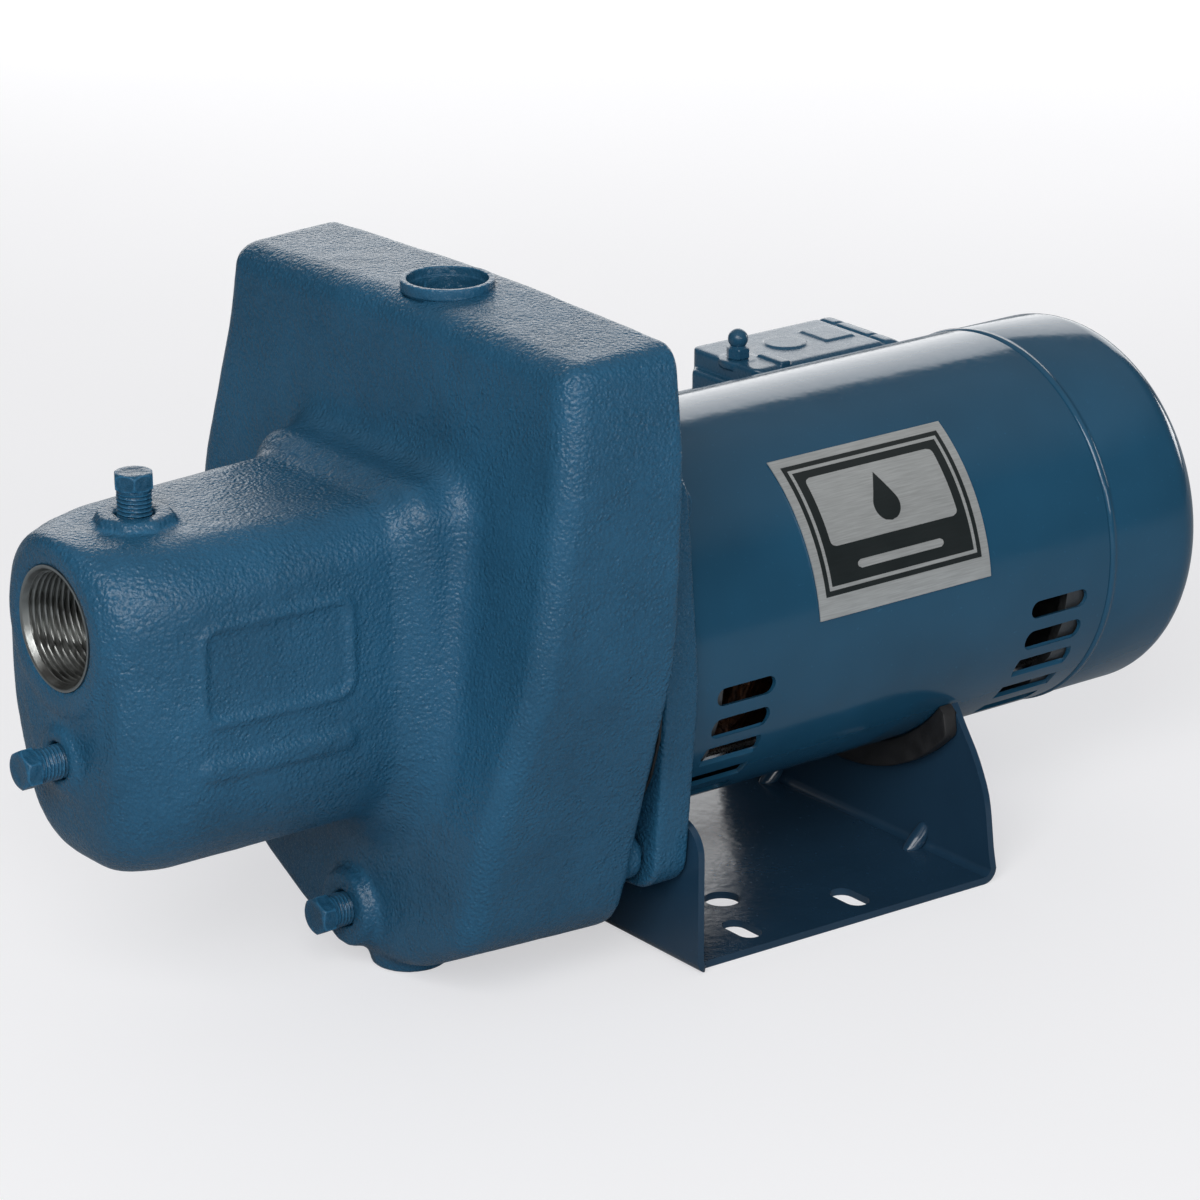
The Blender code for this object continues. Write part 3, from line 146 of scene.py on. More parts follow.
# ---------------------------------------------------------------- node materials
class Finish:
    """A node material under construction, its textures laid out in the piece's own metres."""

    def __init__(self, name, metallic=0.0):
        self.material = bpy.data.materials.new(name)
        self.material.use_nodes = True
        self.tree = self.material.node_tree
        self.shader = self.tree.nodes["Principled BSDF"]
        self.shader.inputs["Metallic"].default_value = metallic
        self.place = self.tree.nodes.new("ShaderNodeTexCoord").outputs["Object"]

    def feed(self, socket, value):
        """Links a socket to another node's output, or sets its value."""
        if isinstance(value, bpy.types.NodeSocket):
            self.tree.links.new(value, socket)
        elif isinstance(value, tuple) and len(value) == 3 and socket.type == "RGBA":
            socket.default_value = (*value, 1.0)
        else:
            socket.default_value = value

    def node(self, kind, output, settings=(), **inputs):
        """Adds a node and gives one of its outputs. An input is named, or is _ and its number."""
        made = self.tree.nodes.new(kind)
        for key, value in dict(settings).items():
            setattr(made, key, value)
        for key, value in inputs.items():
            self.feed(made.inputs[int(key[1:]) if key[1:].isdigit() else key.replace("_", " ")], value)
        return made.outputs[output]

    def stretched(self, factors):
        return self.node("ShaderNodeMapping", 0, Vector=self.place, Scale=factors)

    def noise(self, size, detail=2.0, along=(1, 1, 1)):
        """Soft noise whose grains are about size across."""
        where = self.stretched(tuple(f / size for f in along))
        return self.node("ShaderNodeTexNoise", 0, Vector=where, Scale=1.0, Detail=detail)

    def cells(self, size):
        """Rounded cells, 0 at the middle of each."""
        where = self.stretched((1 / size,) * 3)
        return self.node("ShaderNodeTexVoronoi", 0, {"feature": "SMOOTH_F1"}, Vector=where, Scale=1.0)

    def spread(self, value, low, high, to_low=0.0, to_high=1.0):
        return self.node("ShaderNodeMapRange", 0, Value=value, From_Min=low, From_Max=high,
                         To_Min=to_low, To_Max=to_high)

    def mix(self, factor, first, second):
        return self.node("ShaderNodeMix", 2, {"data_type": "RGBA"}, _0=factor, _6=first, _7=second)

    def edges(self, low, high):
        """0 on flats and 1 on outer edges."""
        value = self.node("ShaderNodeNewGeometry", "Pointiness")
        return self.spread(value, low, high)

    def relief(self, *layers):
        """Bump layers, each a height and how far it stands up in metres."""
        normal = None
        for height, distance in layers:
            made = self.tree.nodes.new("ShaderNodeBump")
            made.inputs["Distance"].default_value = distance
            self.tree.links.new(height, made.inputs["Height"])
            if normal:
                self.tree.links.new(normal, made.inputs["Normal"])
            normal = made.outputs[0]
        self.tree.links.new(normal, self.shader.inputs["Normal"])
        return normal

    def set(self, **inputs):
        for key, value in inputs.items():
            self.feed(self.shader.inputs[key.replace("_", " ")], value)
        return self.material


def shade(colour, factor):
    return tuple(c * factor for c in colour)


def cast_enamel(name, tint, roughness=0.26, pebble=0.0012):
    """Thick enamel over sand-cast iron: close pebbles, drifting tone, and painted highlights on the pebble
    tops and along the outer edges.
    """
    paint = Finish(name)
    pebbles = paint.cells(pebble)
    grit = paint.noise(0.0007, 3.0)
    patches = paint.noise(0.010, 3.0)
    drift = paint.noise(0.035, 3.0)
    tone = paint.mix(paint.spread(drift, 0.30, 0.70), shade(tint, 0.88), shade(tint, 1.14))
    # Painted highlight: the top of each pebble is mixed towards a lighter blue, standing in for light
    # glinting on the pebbles.
    tone = paint.mix(paint.spread(pebbles, 0.50, 0.12, 0.0, 0.30), tone, shade(tint, 1.6))
    # Painted highlight: outer edges are mixed towards a pale blue, standing in for the light caught along
    # them.
    tone = paint.mix(paint.edges(0.512, 0.545), tone, shade(tint, 1.7))
    gloss = paint.spread(grit, 0.3, 0.7, roughness - 0.08, roughness + 0.12)
    height = paint.node("ShaderNodeMath", 0, {"operation": "MULTIPLY"}, _0=pebbles,
                        _1=paint.spread(patches, 0.35, 0.60, 0.45, 1.0))
    paint.relief((height, -0.00055), (grit, 0.00020), (paint.noise(0.0030, 2.0), 0.00014))
    return paint.set(Base_Color=tone, Roughness=gloss, Specular_IOR_Level=0.36)


def smooth_enamel(name, tint, roughness=0.16, ripple=0.00004):
    """Glossy enamel over sheet steel, with a faint orange peel and dust."""
    paint = Finish(name)
    drift = paint.noise(0.045, 2.0)
    dust = paint.noise(0.0016, 4.0)
    tone = paint.mix(paint.spread(drift, 0.3, 0.7), shade(tint, 0.90), shade(tint, 1.10))
    tone = paint.mix(paint.spread(dust, 0.66, 0.78, 0.0, 0.30), tone, shade(tint, 2.2))
    gloss = paint.spread(dust, 0.35, 0.75, roughness, roughness + 0.10)
    paint.relief((paint.noise(0.0045, 1.0), ripple), (paint.noise(0.020, 1.0), ripple * 2))
    return paint.set(Base_Color=tone, Roughness=gloss)


def worked_metal(name, bright, dark, roughness, grain=0.0007, along=(1, 1, 1), height=0.00002):
    """Bare metal with machining marks, stains and rubbed edges."""
    metal = Finish(name, metallic=1.0)
    stains = metal.noise(0.009, 4.0)
    marks = metal.noise(grain, 3.0, along)
    tone = metal.mix(metal.spread(stains, 0.35, 0.65), dark, bright)
    tone = metal.mix(metal.edges(0.52, 0.58), tone, shade(bright, 1.25))
    gloss = metal.spread(marks, 0.3, 0.7, roughness - 0.07, roughness + 0.12)
    metal.relief((marks, height))
    return metal.set(Base_Color=tone, Roughness=gloss)


def moulded(name, tint, roughness, grain=0.0006, height=0.00003):
    """Plastic or rubber with a fine moulded grain and scuffs."""
    soft = Finish(name)
    grains = soft.noise(grain, 3.0)
    scuffs = soft.noise(0.007, 4.0)
    tone = soft.mix(soft.spread(scuffs, 0.4, 0.7), shade(tint, 0.85), shade(tint, 1.35))
    gloss = soft.spread(scuffs, 0.35, 0.65, roughness - 0.06, roughness + 0.10)
    soft.relief((grains, height))
    return soft.set(Base_Color=tone, Roughness=gloss)


def layered(name, bright, dark, pitch, roughness):
    """Metal stacked or wound along the shaft, in layers one pitch apart."""
    stack = Finish(name, metallic=0.8)
    where = stack.stretched((1 / pitch, 0, 0))
    one_band_per_unit = 0.314
    bands = stack.node("ShaderNodeTexWave", 1, {"bands_direction": "X"}, Vector=where,
                       Scale=one_band_per_unit, Distortion=0.0)
    stains = stack.noise(0.006, 4.0)
    tone = stack.mix(bands, dark, bright)
    tone = stack.mix(stack.spread(stains, 0.45, 0.75, 0.0, 0.6), tone, shade(dark, 0.6))
    gloss = stack.spread(stains, 0.3, 0.7, roughness - 0.05, roughness + 0.15)
    stack.relief((bands, pitch * 0.35))
    return stack.set(Base_Color=tone, Roughness=gloss)


def windings_finish():
    """Enamelled copper wire under brown varnish, laid round the shaft, its browns darkened further as painted
    shade for the motor's dim inside.
    """
    coil = Finish("copper_windings", metallic=0.7)
    strands = coil.noise(0.0011, 2.0, (1.0, 0.25, 0.25))
    varnish = coil.noise(0.007, 3.0)
    # Partly painted shade: the varnished browns are set darker than the wire's own colour, standing in for
    # the shade inside the motor seen through the vents.
    tone = coil.mix(coil.spread(strands, 0.35, 0.65), (0.018, 0.008, 0.005), (0.090, 0.036, 0.016))
    tone = coil.mix(coil.spread(varnish, 0.5, 0.75, 0.0, 0.7), tone, (0.012, 0.007, 0.005))
    coil.relief((strands, 0.0005))
    return coil.set(Base_Color=tone, Roughness=coil.spread(varnish, 0.3, 0.7, 0.24, 0.42))


def foil(name, tint, metallic, roughness):
    """Printed metallic foil with a fine drawn grain."""
    sheet = Finish(name, metallic=metallic)
    grain = sheet.noise(0.0005, 3.0, (0.05, 1.0, 1.0))
    haze = sheet.noise(0.012, 3.0)
    tone = sheet.mix(sheet.spread(grain, 0.35, 0.65), shade(tint, 0.88), shade(tint, 1.08))
    tone = sheet.mix(sheet.spread(haze, 0.45, 0.70, 0.0, 0.25), tone, shade(tint, 0.80))
    sheet.relief((grain, 0.000006), (haze, 0.00006))
    return sheet.set(Base_Color=tone, Roughness=sheet.spread(haze, 0.3, 0.7, roughness, roughness + 0.12))


BLUE = (0.0180, 0.0880, 0.1650)
FINISHES = {
    "cast_paint": cast_enamel("cast_paint", BLUE),
    "fitting_paint": cast_enamel("fitting_paint", shade(BLUE, 0.85), 0.24, 0.0022),
    "sheet_paint": smooth_enamel("sheet_paint", (0.0150, 0.0800, 0.1500), 0.10),
    "base_paint": smooth_enamel("base_paint", (0.0150, 0.0440, 0.0820), 0.15, 0.00008),
    "switch_paint": smooth_enamel("switch_paint", (0.0200, 0.0900, 0.1650), 0.24, 0.00010),
    "bright_steel": worked_metal("bright_steel", (0.56, 0.57, 0.58), (0.36, 0.37, 0.39), 0.28),
    "dark_steel": worked_metal("dark_steel", (0.15, 0.15, 0.155), (0.07, 0.07, 0.075), 0.36),
    "thread_metal": worked_metal("thread_metal", (0.30, 0.31, 0.30), (0.12, 0.12, 0.115), 0.38, 0.0005,
                                 (1.0, 0.3, 0.3)),
    # Painted shade: the endbells' aluminium is set far darker than bare aluminium, standing in for the shade
    # inside the motor seen through the vents.
    "cast_aluminium": worked_metal("cast_aluminium", (0.15, 0.155, 0.16), (0.07, 0.073, 0.076), 0.55, 0.0009,
                                   height=0.00010),
    "laminations": layered("laminations", (0.20, 0.20, 0.21), (0.05, 0.05, 0.055), 0.0010, 0.42),
    "brass": worked_metal("brass", (0.70, 0.50, 0.20), (0.42, 0.28, 0.10), 0.28),
    "copper": worked_metal("copper", (0.72, 0.36, 0.20), (0.42, 0.18, 0.10), 0.28),
    "copper_windings": windings_finish(),
    "black_rubber": moulded("black_rubber", (0.016, 0.016, 0.017), 0.55, 0.0009, 0.00008),
    "black_plastic": moulded("black_plastic", (0.022, 0.022, 0.024), 0.38),
    "ivory_plastic": moulded("ivory_plastic", (0.66, 0.61, 0.48), 0.36),
    "label_foil": foil("label_foil", (0.56, 0.58, 0.58), 0.55, 0.34),
    "label_print": foil("label_print", (0.012, 0.017, 0.018), 0.0, 0.30),
}


# ---------------------------------------------------------------- pieces and outlines
def piece(name, mesh, finish, body="frame", replaces=()):
    """Shows a mesh as one piece of the object, on its CAD body."""
    obj = bpy.data.objects.new(name, mesh)
    bpy.context.scene.collection.objects.link(obj)
    mesh.materials.clear()
    mesh.materials.append(FINISHES[finish])
    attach(obj, body)
    if replaces:
        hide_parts(*replaces)
    return obj


def fillet(before, corner, after, radius, steps):
    """Points on the arc that rounds one corner of a path, in two or three dimensions."""
    corner = Vector(corner)
    to_before = (Vector(before) - corner).normalized()
    to_after = (Vector(after) - corner).normalized()
    half = to_before.angle(to_after) / 2
    reach = radius / math.tan(half)
    centre = corner + (to_before + to_after).normalized() * (radius / math.sin(half))
    first = corner + to_before * reach - centre
    last = corner + to_after * reach - centre
    sweep = first.angle(last)
    points = []
    for i in range(steps + 1):
        t = i / steps
        weights = math.sin((1 - t) * sweep) / math.sin(sweep), math.sin(t * sweep) / math.sin(sweep)
        points.append(centre + first * weights[0] + last * weights[1])
    return points


def rounded(corners, steps):
    """A closed outline from (u, v, radius) corners."""
    points = []
    for i, (u, v, radius) in enumerate(corners):
        before = corners[i - 1][:2]
        after = corners[(i + 1) % len(corners)][:2]
        points += [tuple(p) for p in fillet(before, (u, v), after, radius, steps)]
    return points


def eased(profile, radius, steps=3):
    """A profile with its inner corners rounded, as far as the lengths beside them allow."""
    points = [profile[0]]
    for before, corner, after in zip(profile, profile[1:], profile[2:]):
        sides = [(Vector(p) - Vector(corner)) for p in (before, after)]
        bend = math.pi - sides[0].angle(sides[1])
        reach = min(radius * math.tan(bend / 2), 0.45 * min(s.length for s in sides))
        if bend < 0.15 or reach < 1e-6:
            points.append(corner)
        else:
            points += [tuple(p) for p in fillet(before, corner, after, reach / math.tan(bend / 2), steps)]
    return points + [profile[-1]]


ALONG = {
    "X": Matrix.Rotation(math.radians(90), 4, "Y"),
    "-X": Matrix.Rotation(math.radians(-90), 4, "Y"),
    "Y": Matrix.Rotation(math.radians(-90), 4, "X"),
    "-Y": Matrix.Rotation(math.radians(90), 4, "X"),
    "Z": Matrix.Identity(4),
}


def smooth(mesh, angle=32.0):
    mesh.shade_smooth()
    mesh.set_sharp_from_angle(angle=math.radians(angle))
    return mesh


def mesh_of(bm, name, angle=32.0):
    bmesh.ops.recalc_face_normals(bm, faces=bm.faces)
    mesh = bpy.data.meshes.new(name)
    bm.to_mesh(mesh)
    bm.free()
    return smooth(mesh, angle)


def rings_mesh(name, rings, angle=32.0, closed_loop=False, caps=False):
    """A skin through rings of equally many points. A ring whose points all meet closes to one point."""
    bm = bmesh.new()
    loops = []
    for ring in rings:
        if (Vector(ring[0]) - Vector(ring[len(ring) // 3])).length < 1e-9:
            loops.append([bm.verts.new(ring[0])])
        else:
            loops.append([bm.verts.new(p) for p in ring])
    pairs = list(zip(loops, loops[1:]))
    if closed_loop:
        pairs.append((loops[-1], loops[0]))
    for low, high in pairs:
        count = max(len(low), len(high))
        for i in range(count):
            j = (i + 1) % count
            corners = [low[i % len(low)], low[j % len(low)], high[j % len(high)], high[i % len(high)]]
            unique = list(dict.fromkeys(corners))
            if len(unique) > 2:
                bm.faces.new(unique)
    if caps:
        bm.faces.new(loops[0])
        bm.faces.new(loops[-1])
    return mesh_of(bm, name, angle)


def turned(name, profile, centre, along="X", steps=96, ease=0.0, reach=None, angle=32.0):
    """A turned mesh. The profile is (distance along the axis, radius).

    reach(angle, distance, radius) may alter the radius at a point.
    A profile that starts and ends on the axis is a solid; any other is closed into a ring.
    """
    solid = profile[0][1] == 0 and profile[-1][1] == 0
    if ease:
        if solid:
            profile = eased(profile, ease)
        else:
            profile = eased([profile[-1]] + list(profile) + [profile[0]], ease)[1:-1]
    rings = []
    for t, r in profile:
        ring = []
        for i in range(steps):
            a = 2 * math.pi * i / steps
            radius = reach(a, t, r) if reach and r else r
            ring.append((radius * math.cos(a), radius * math.sin(a), t))
        rings.append(ring)
    mesh = rings_mesh(name, rings, angle, not solid)
    mesh.transform(Matrix.Translation(centre) @ ALONG[along])
    return mesh


def filled_curve(name, outlines, fill):
    """A flat filled curve, its first outline the edge and the others holes."""
    curve = bpy.data.curves.new(name, "CURVE")
    curve.dimensions = "2D"
    curve.fill_mode = fill
    for outline in outlines:
        spline = curve.splines.new("POLY")
        spline.points.add(len(outline) - 1)
        for point, (u, v) in zip(spline.points, outline):
            point.co = (u, v, 0, 1)
        spline.use_cyclic_u = True
    return bpy.data.objects.new(name, curve)


def flat_solid(name, outlines, low, high, along="X"):
    """Flat outlines pulled from low to high, their points (y, z) for X, (x, z) for Y and (x, y) for Z."""
    helper = filled_curve(name, outlines, "BOTH")
    helper.data.extrude = (high - low) / 2
    shift = (high + low) / 2
    turn = {
        "X": Matrix(((0, 0, 1, shift), (1, 0, 0, 0), (0, 1, 0, 0), (0, 0, 0, 1))),
        "Y": Matrix(((1, 0, 0, 0), (0, 0, -1, shift), (0, 1, 0, 0), (0, 0, 0, 1))),
        "Z": Matrix.Translation((0, 0, shift)),
    }
    return modified(name, helper, place=turn[along])


def applied(obj):
    """The mesh of a linked object with its modifiers applied. The object is removed."""
    bpy.context.view_layer.update()
    graph = bpy.context.evaluated_depsgraph_get()
    mesh = bpy.data.meshes.new_from_object(obj.evaluated_get(graph))
    bpy.data.objects.remove(obj)
    return mesh


def round_edges(obj, width, segments, angle):
    """Bevels the edges sharper than the angle, and keeps the flats beside them flat."""
    edge = obj.modifiers.new("edges", "BEVEL")
    edge.width = width
    edge.segments = segments
    edge.limit_method = "ANGLE"
    edge.angle_limit = math.radians(angle)
    flats = obj.modifiers.new("flats", "WEIGHTED_NORMAL")
    flats.keep_sharp = True


def modified(name, helper, bevel=0.0, segments=2, thickness=0.0, place=None, angle=32.0):
    """The mesh of a helper object after welding, thickening and bevelling. The helper is removed."""
    bpy.context.scene.collection.objects.link(helper)
    if helper.type == "CURVE":
        mesh = applied(helper)
        bm = bmesh.new()
        bm.from_mesh(mesh)
        bmesh.ops.remove_doubles(bm, verts=bm.verts, dist=1e-6)
        bmesh.ops.dissolve_limit(bm, angle_limit=math.radians(1), verts=bm.verts, edges=bm.edges)
        bm.to_mesh(mesh)
        bm.free()
        helper = bpy.data.objects.new(name, mesh)
        bpy.context.scene.collection.objects.link(helper)
    if thickness:
        thick = helper.modifiers.new("thickness", "SOLIDIFY")
        thick.thickness = thickness
        thick.offset = 0.0
        thick.use_even_offset = True
    if bevel:
        round_edges(helper, bevel, segments, 38)
    mesh = applied(helper)
    mesh.name = name
    if place is not None:
        mesh.transform(place)
    return mesh if bevel else smooth(mesh, angle)


def cut_mesh(name, mesh, cutter):
    """One mesh less another."""
    target = bpy.data.objects.new(name, mesh)
    tool = bpy.data.objects.new(name + "_tool", cutter)
    for obj in (target, tool):
        bpy.context.scene.collection.objects.link(obj)
    step = target.modifiers.new("cut", "BOOLEAN")
    step.operation = "DIFFERENCE"
    step.object = tool
    made = applied(target)
    bpy.data.objects.remove(tool)
    made.name = name
    return made


def joined(name, *meshes):
    bm = bmesh.new()
    for mesh in meshes:
        bm.from_mesh(mesh)
    made = bpy.data.meshes.new(name)
    bm.to_mesh(made)
    bm.free()
    return smooth(made)


def tube(name, points, radius, sides):
    """A round rod through the points, with closed ends."""
    curve = bpy.data.curves.new(name, "CURVE")
    curve.dimensions = "3D"
    curve.bevel_depth = radius
    curve.bevel_resolution = sides // 4
    curve.use_fill_caps = True
    spline = curve.splines.new("POLY")
    spline.points.add(len(points) - 1)
    for point, place in zip(spline.points, points):
        point.co = (*place, 1)
    return modified(name, bpy.data.objects.new(name, curve), angle=60.0)


# ---------------------------------------------------------------- solids from distances
class Field:
    """Signed distances on a regular grid, negative inside the metal."""

    def __init__(self, low, high, cell):
        self.low, self.cell = np.array(low, np.float32), cell
        counts = [int(math.ceil((b - a) / cell)) + 1 for a, b in zip(low, high)]
        axes = [a + cell * np.arange(n, dtype=np.float32) for a, n in zip(low, counts)]
        self.x, self.y, self.z = axes[0][:, None, None], axes[1][None, :, None], axes[2][None, None, :]

    def rod(self, along, centre, radius, low, high, edge=0.0):
        """A cylinder along x, y or z, its centre given in the other two axes."""
        axes = {"x": (self.y, self.z, self.x), "y": (self.x, self.z, self.y), "z": (self.x, self.y, self.z)}
        u, v, t = axes[along]
        across = np.hypot(u - centre[0], v - centre[1]) - radius
        return overlap(across, np.maximum(low - t, t - high), edge)

    def box(self, low, high, edge=0.0):
        """A box with rounded edges."""
        parts = []
        for t, a, b in zip((self.x, self.y, self.z), low, high):
            parts.append(np.abs(t - (a + b) / 2) - (b - a) / 2 + edge)
        outside = np.sqrt(sum(np.maximum(p, 0) ** 2 for p in parts))
        inside = np.minimum(np.maximum(np.maximum(parts[0], parts[1]), parts[2]), 0)
        return outside + inside - edge

    def mesh(self, name, distance, soften=1):
        for _ in range(soften):
            for axis in range(3):
                distance = (np.roll(distance, 1, axis) + 2 * distance + np.roll(distance, -1, axis)) / 4
        grid = openvdb.FloatGrid(background=4 * self.cell)
        grid.copyFromArray(np.ascontiguousarray(distance, np.float32))
        points, quads = grid.convertToQuads(isovalue=0.0)
        points = (points * self.cell + self.low).astype(np.float32)
        made = bpy.data.meshes.new(name)
        made.vertices.add(len(points))
        made.vertices.foreach_set("co", points.ravel())
        made.loops.add(quads.size)
        made.loops.foreach_set("vertex_index", quads[:, ::-1].ravel().astype(np.int32))
        made.polygons.add(len(quads))
        made.polygons.foreach_set("loop_start", np.arange(0, quads.size, 4, dtype=np.int32))
        made.update(calc_edges=True)
        made.validate()
        made.shade_smooth()
        return made


def overlap(a, b, edge=0.0):
    """Inside both, with the edge between them rounded."""
    if not edge:
        return np.maximum(a, b)
    beyond = np.hypot(np.maximum(a + edge, 0), np.maximum(b + edge, 0))
    return np.minimum(np.maximum(a, b), -edge) + beyond


def union(a, b, fillet_r=0.0):
    if not fillet_r:
        return np.minimum(a, b)
    blend = np.clip(0.5 + 0.5 * (b - a) / fillet_r, 0, 1)
    return b * (1 - blend) + a * blend - fillet_r * blend * (1 - blend)


def without(a, b, fillet_r=0.0):
    return -union(-a, b, fillet_r)


def outline_distance(outline, u, v):
    """Signed distance of each (u, v) from a closed outline, negative inside."""
    nearest = np.full(np.broadcast(u, v).shape, 1e9, np.float32)
    inside = np.zeros(nearest.shape, bool)
    for (u0, v0), (u1, v1) in zip(outline, outline[1:] + outline[:1]):
        du, dv = u1 - u0, v1 - v0
        length = du * du + dv * dv
        if length < 1e-14:
            continue
        t = np.clip(((u - u0) * du + (v - v0) * dv) / length, 0, 1)
        nearest = np.minimum(nearest, (u - u0 - t * du) ** 2 + (v - v0 - t * dv) ** 2)
        if dv:
            inside ^= ((v0 > v) != (v1 > v)) & (u < u0 + (v - v0) / dv * du)
    return np.where(inside, -1, 1) * np.sqrt(nearest)


def steady_curve(places, values, x):
    """A smooth curve through the values that never overshoots them."""
    rises = np.diff(values) / np.diff(places)
    slopes = np.concatenate([rises[:1], np.zeros(len(rises) - 1), rises[-1:]])
    for i in range(1, len(rises)):
        if rises[i - 1] * rises[i] > 0:
            slopes[i] = 2 * rises[i - 1] * rises[i] / (rises[i - 1] + rises[i])
    i = np.clip(np.searchsorted(places, x) - 1, 0, len(places) - 2)
    width = places[i + 1] - places[i]
    t = np.clip((x - places[i]) / width, 0, 1)
    start = values[i] * (1 + 2 * t) * (1 - t) ** 2 + values[i + 1] * t * t * (3 - 2 * t)
    return start + width * (slopes[i] * t * (1 - t) ** 2 - slopes[i + 1] * t * t * (1 - t))


def undulated(mesh, layers):
    """Moves each point a little along its normal, by soft noise in (grain, height) layers."""
    normals = np.empty(len(mesh.vertices) * 3, np.float32)
    mesh.vertices.foreach_get("normal", normals)
    points = np.empty(len(mesh.vertices) * 3, np.float32)
    mesh.vertices.foreach_get("co", points)
    normals, points = normals.reshape(-1, 3), points.reshape(-1, 3)
    lift = np.zeros(len(points))
    for grain, height in layers:
        lift += [height * noise.noise(Vector(p) / grain) for p in points.tolist()]
    mesh.vertices.foreach_set("co", (points + normals * lift[:, None]).astype(np.float32).ravel())
    mesh.update()
    return mesh


# ---------------------------------------------------------------- pump casting
def tank_outline():
    near, far = TANK_NEAR, TANK_FAR
    corners = list(far) + [(-w, z, r) for w, z, r in reversed(near)] + [(0.0, TANK_TOP_Z + TANK_CROWN, 1.2)]
    return rounded(corners, 8)


def nose_outline(half_width, top_z, corner, low_half_width, bottom_z):
    right = [
        (low_half_width, bottom_z, 0.98 * low_half_width),
        (half_width, NOSE_WAIST_Z, 0.080),
        (half_width - 0.0005, top_z, corner),
    ]
    return rounded(right + [(-y, z, r) for y, z, r in reversed(right)], 8)


def nose_distance(f):
    """The nose, one section per slice of the grid."""
    stations = np.array(sorted(NOSE_STATIONS))
    distance = np.full((f.x.size, f.y.size, f.z.size), 0.05, np.float32)
    rows = np.abs(f.y[0, :, 0]) < 0.062
    columns = (f.z[0, 0] > 0.045) & (f.z[0, 0] < 0.200)
    y, z = f.y[0][rows], f.z[0][:, columns]
    for i, x in enumerate(f.x[:, 0, 0]):
        if x > -0.130:
            continue
        clamped = min(max(x, stations[0, 0]), stations[-1, 0])
        section = [steady_curve(stations[:, 0], stations[:, k], clamped) for k in range(1, 6)]
        block = outline_distance(nose_outline(*section), y, z)
        distance[i][np.ix_(rows, columns)] = block
    return np.maximum(distance, stations[0, 0] - f.x)


def raised_frame(f, surface):
    """A plain rounded frame and a plain bar cast on the nose's near side."""
    def rounded_bar(x, z, half_x, half_z, corner):
        u, v = np.abs(f.x - x) - half_x + corner, np.abs(f.z - z) - half_z + corner
        return np.hypot(np.maximum(u, 0), np.maximum(v, 0)) + np.minimum(np.maximum(u, v), 0) - corner

    outer = rounded_bar(-0.2180, 0.1400, 0.0300, 0.0180, 0.0070)
    ring = np.maximum(outer, -(outer + 0.0026))
    bar = rounded_bar(-0.2180, 0.1070, 0.0300, 0.0035, 0.0033)
    mark = np.maximum(np.minimum(ring, bar), surface - 0.0015)
    return np.maximum(mark, f.y + 0.020)


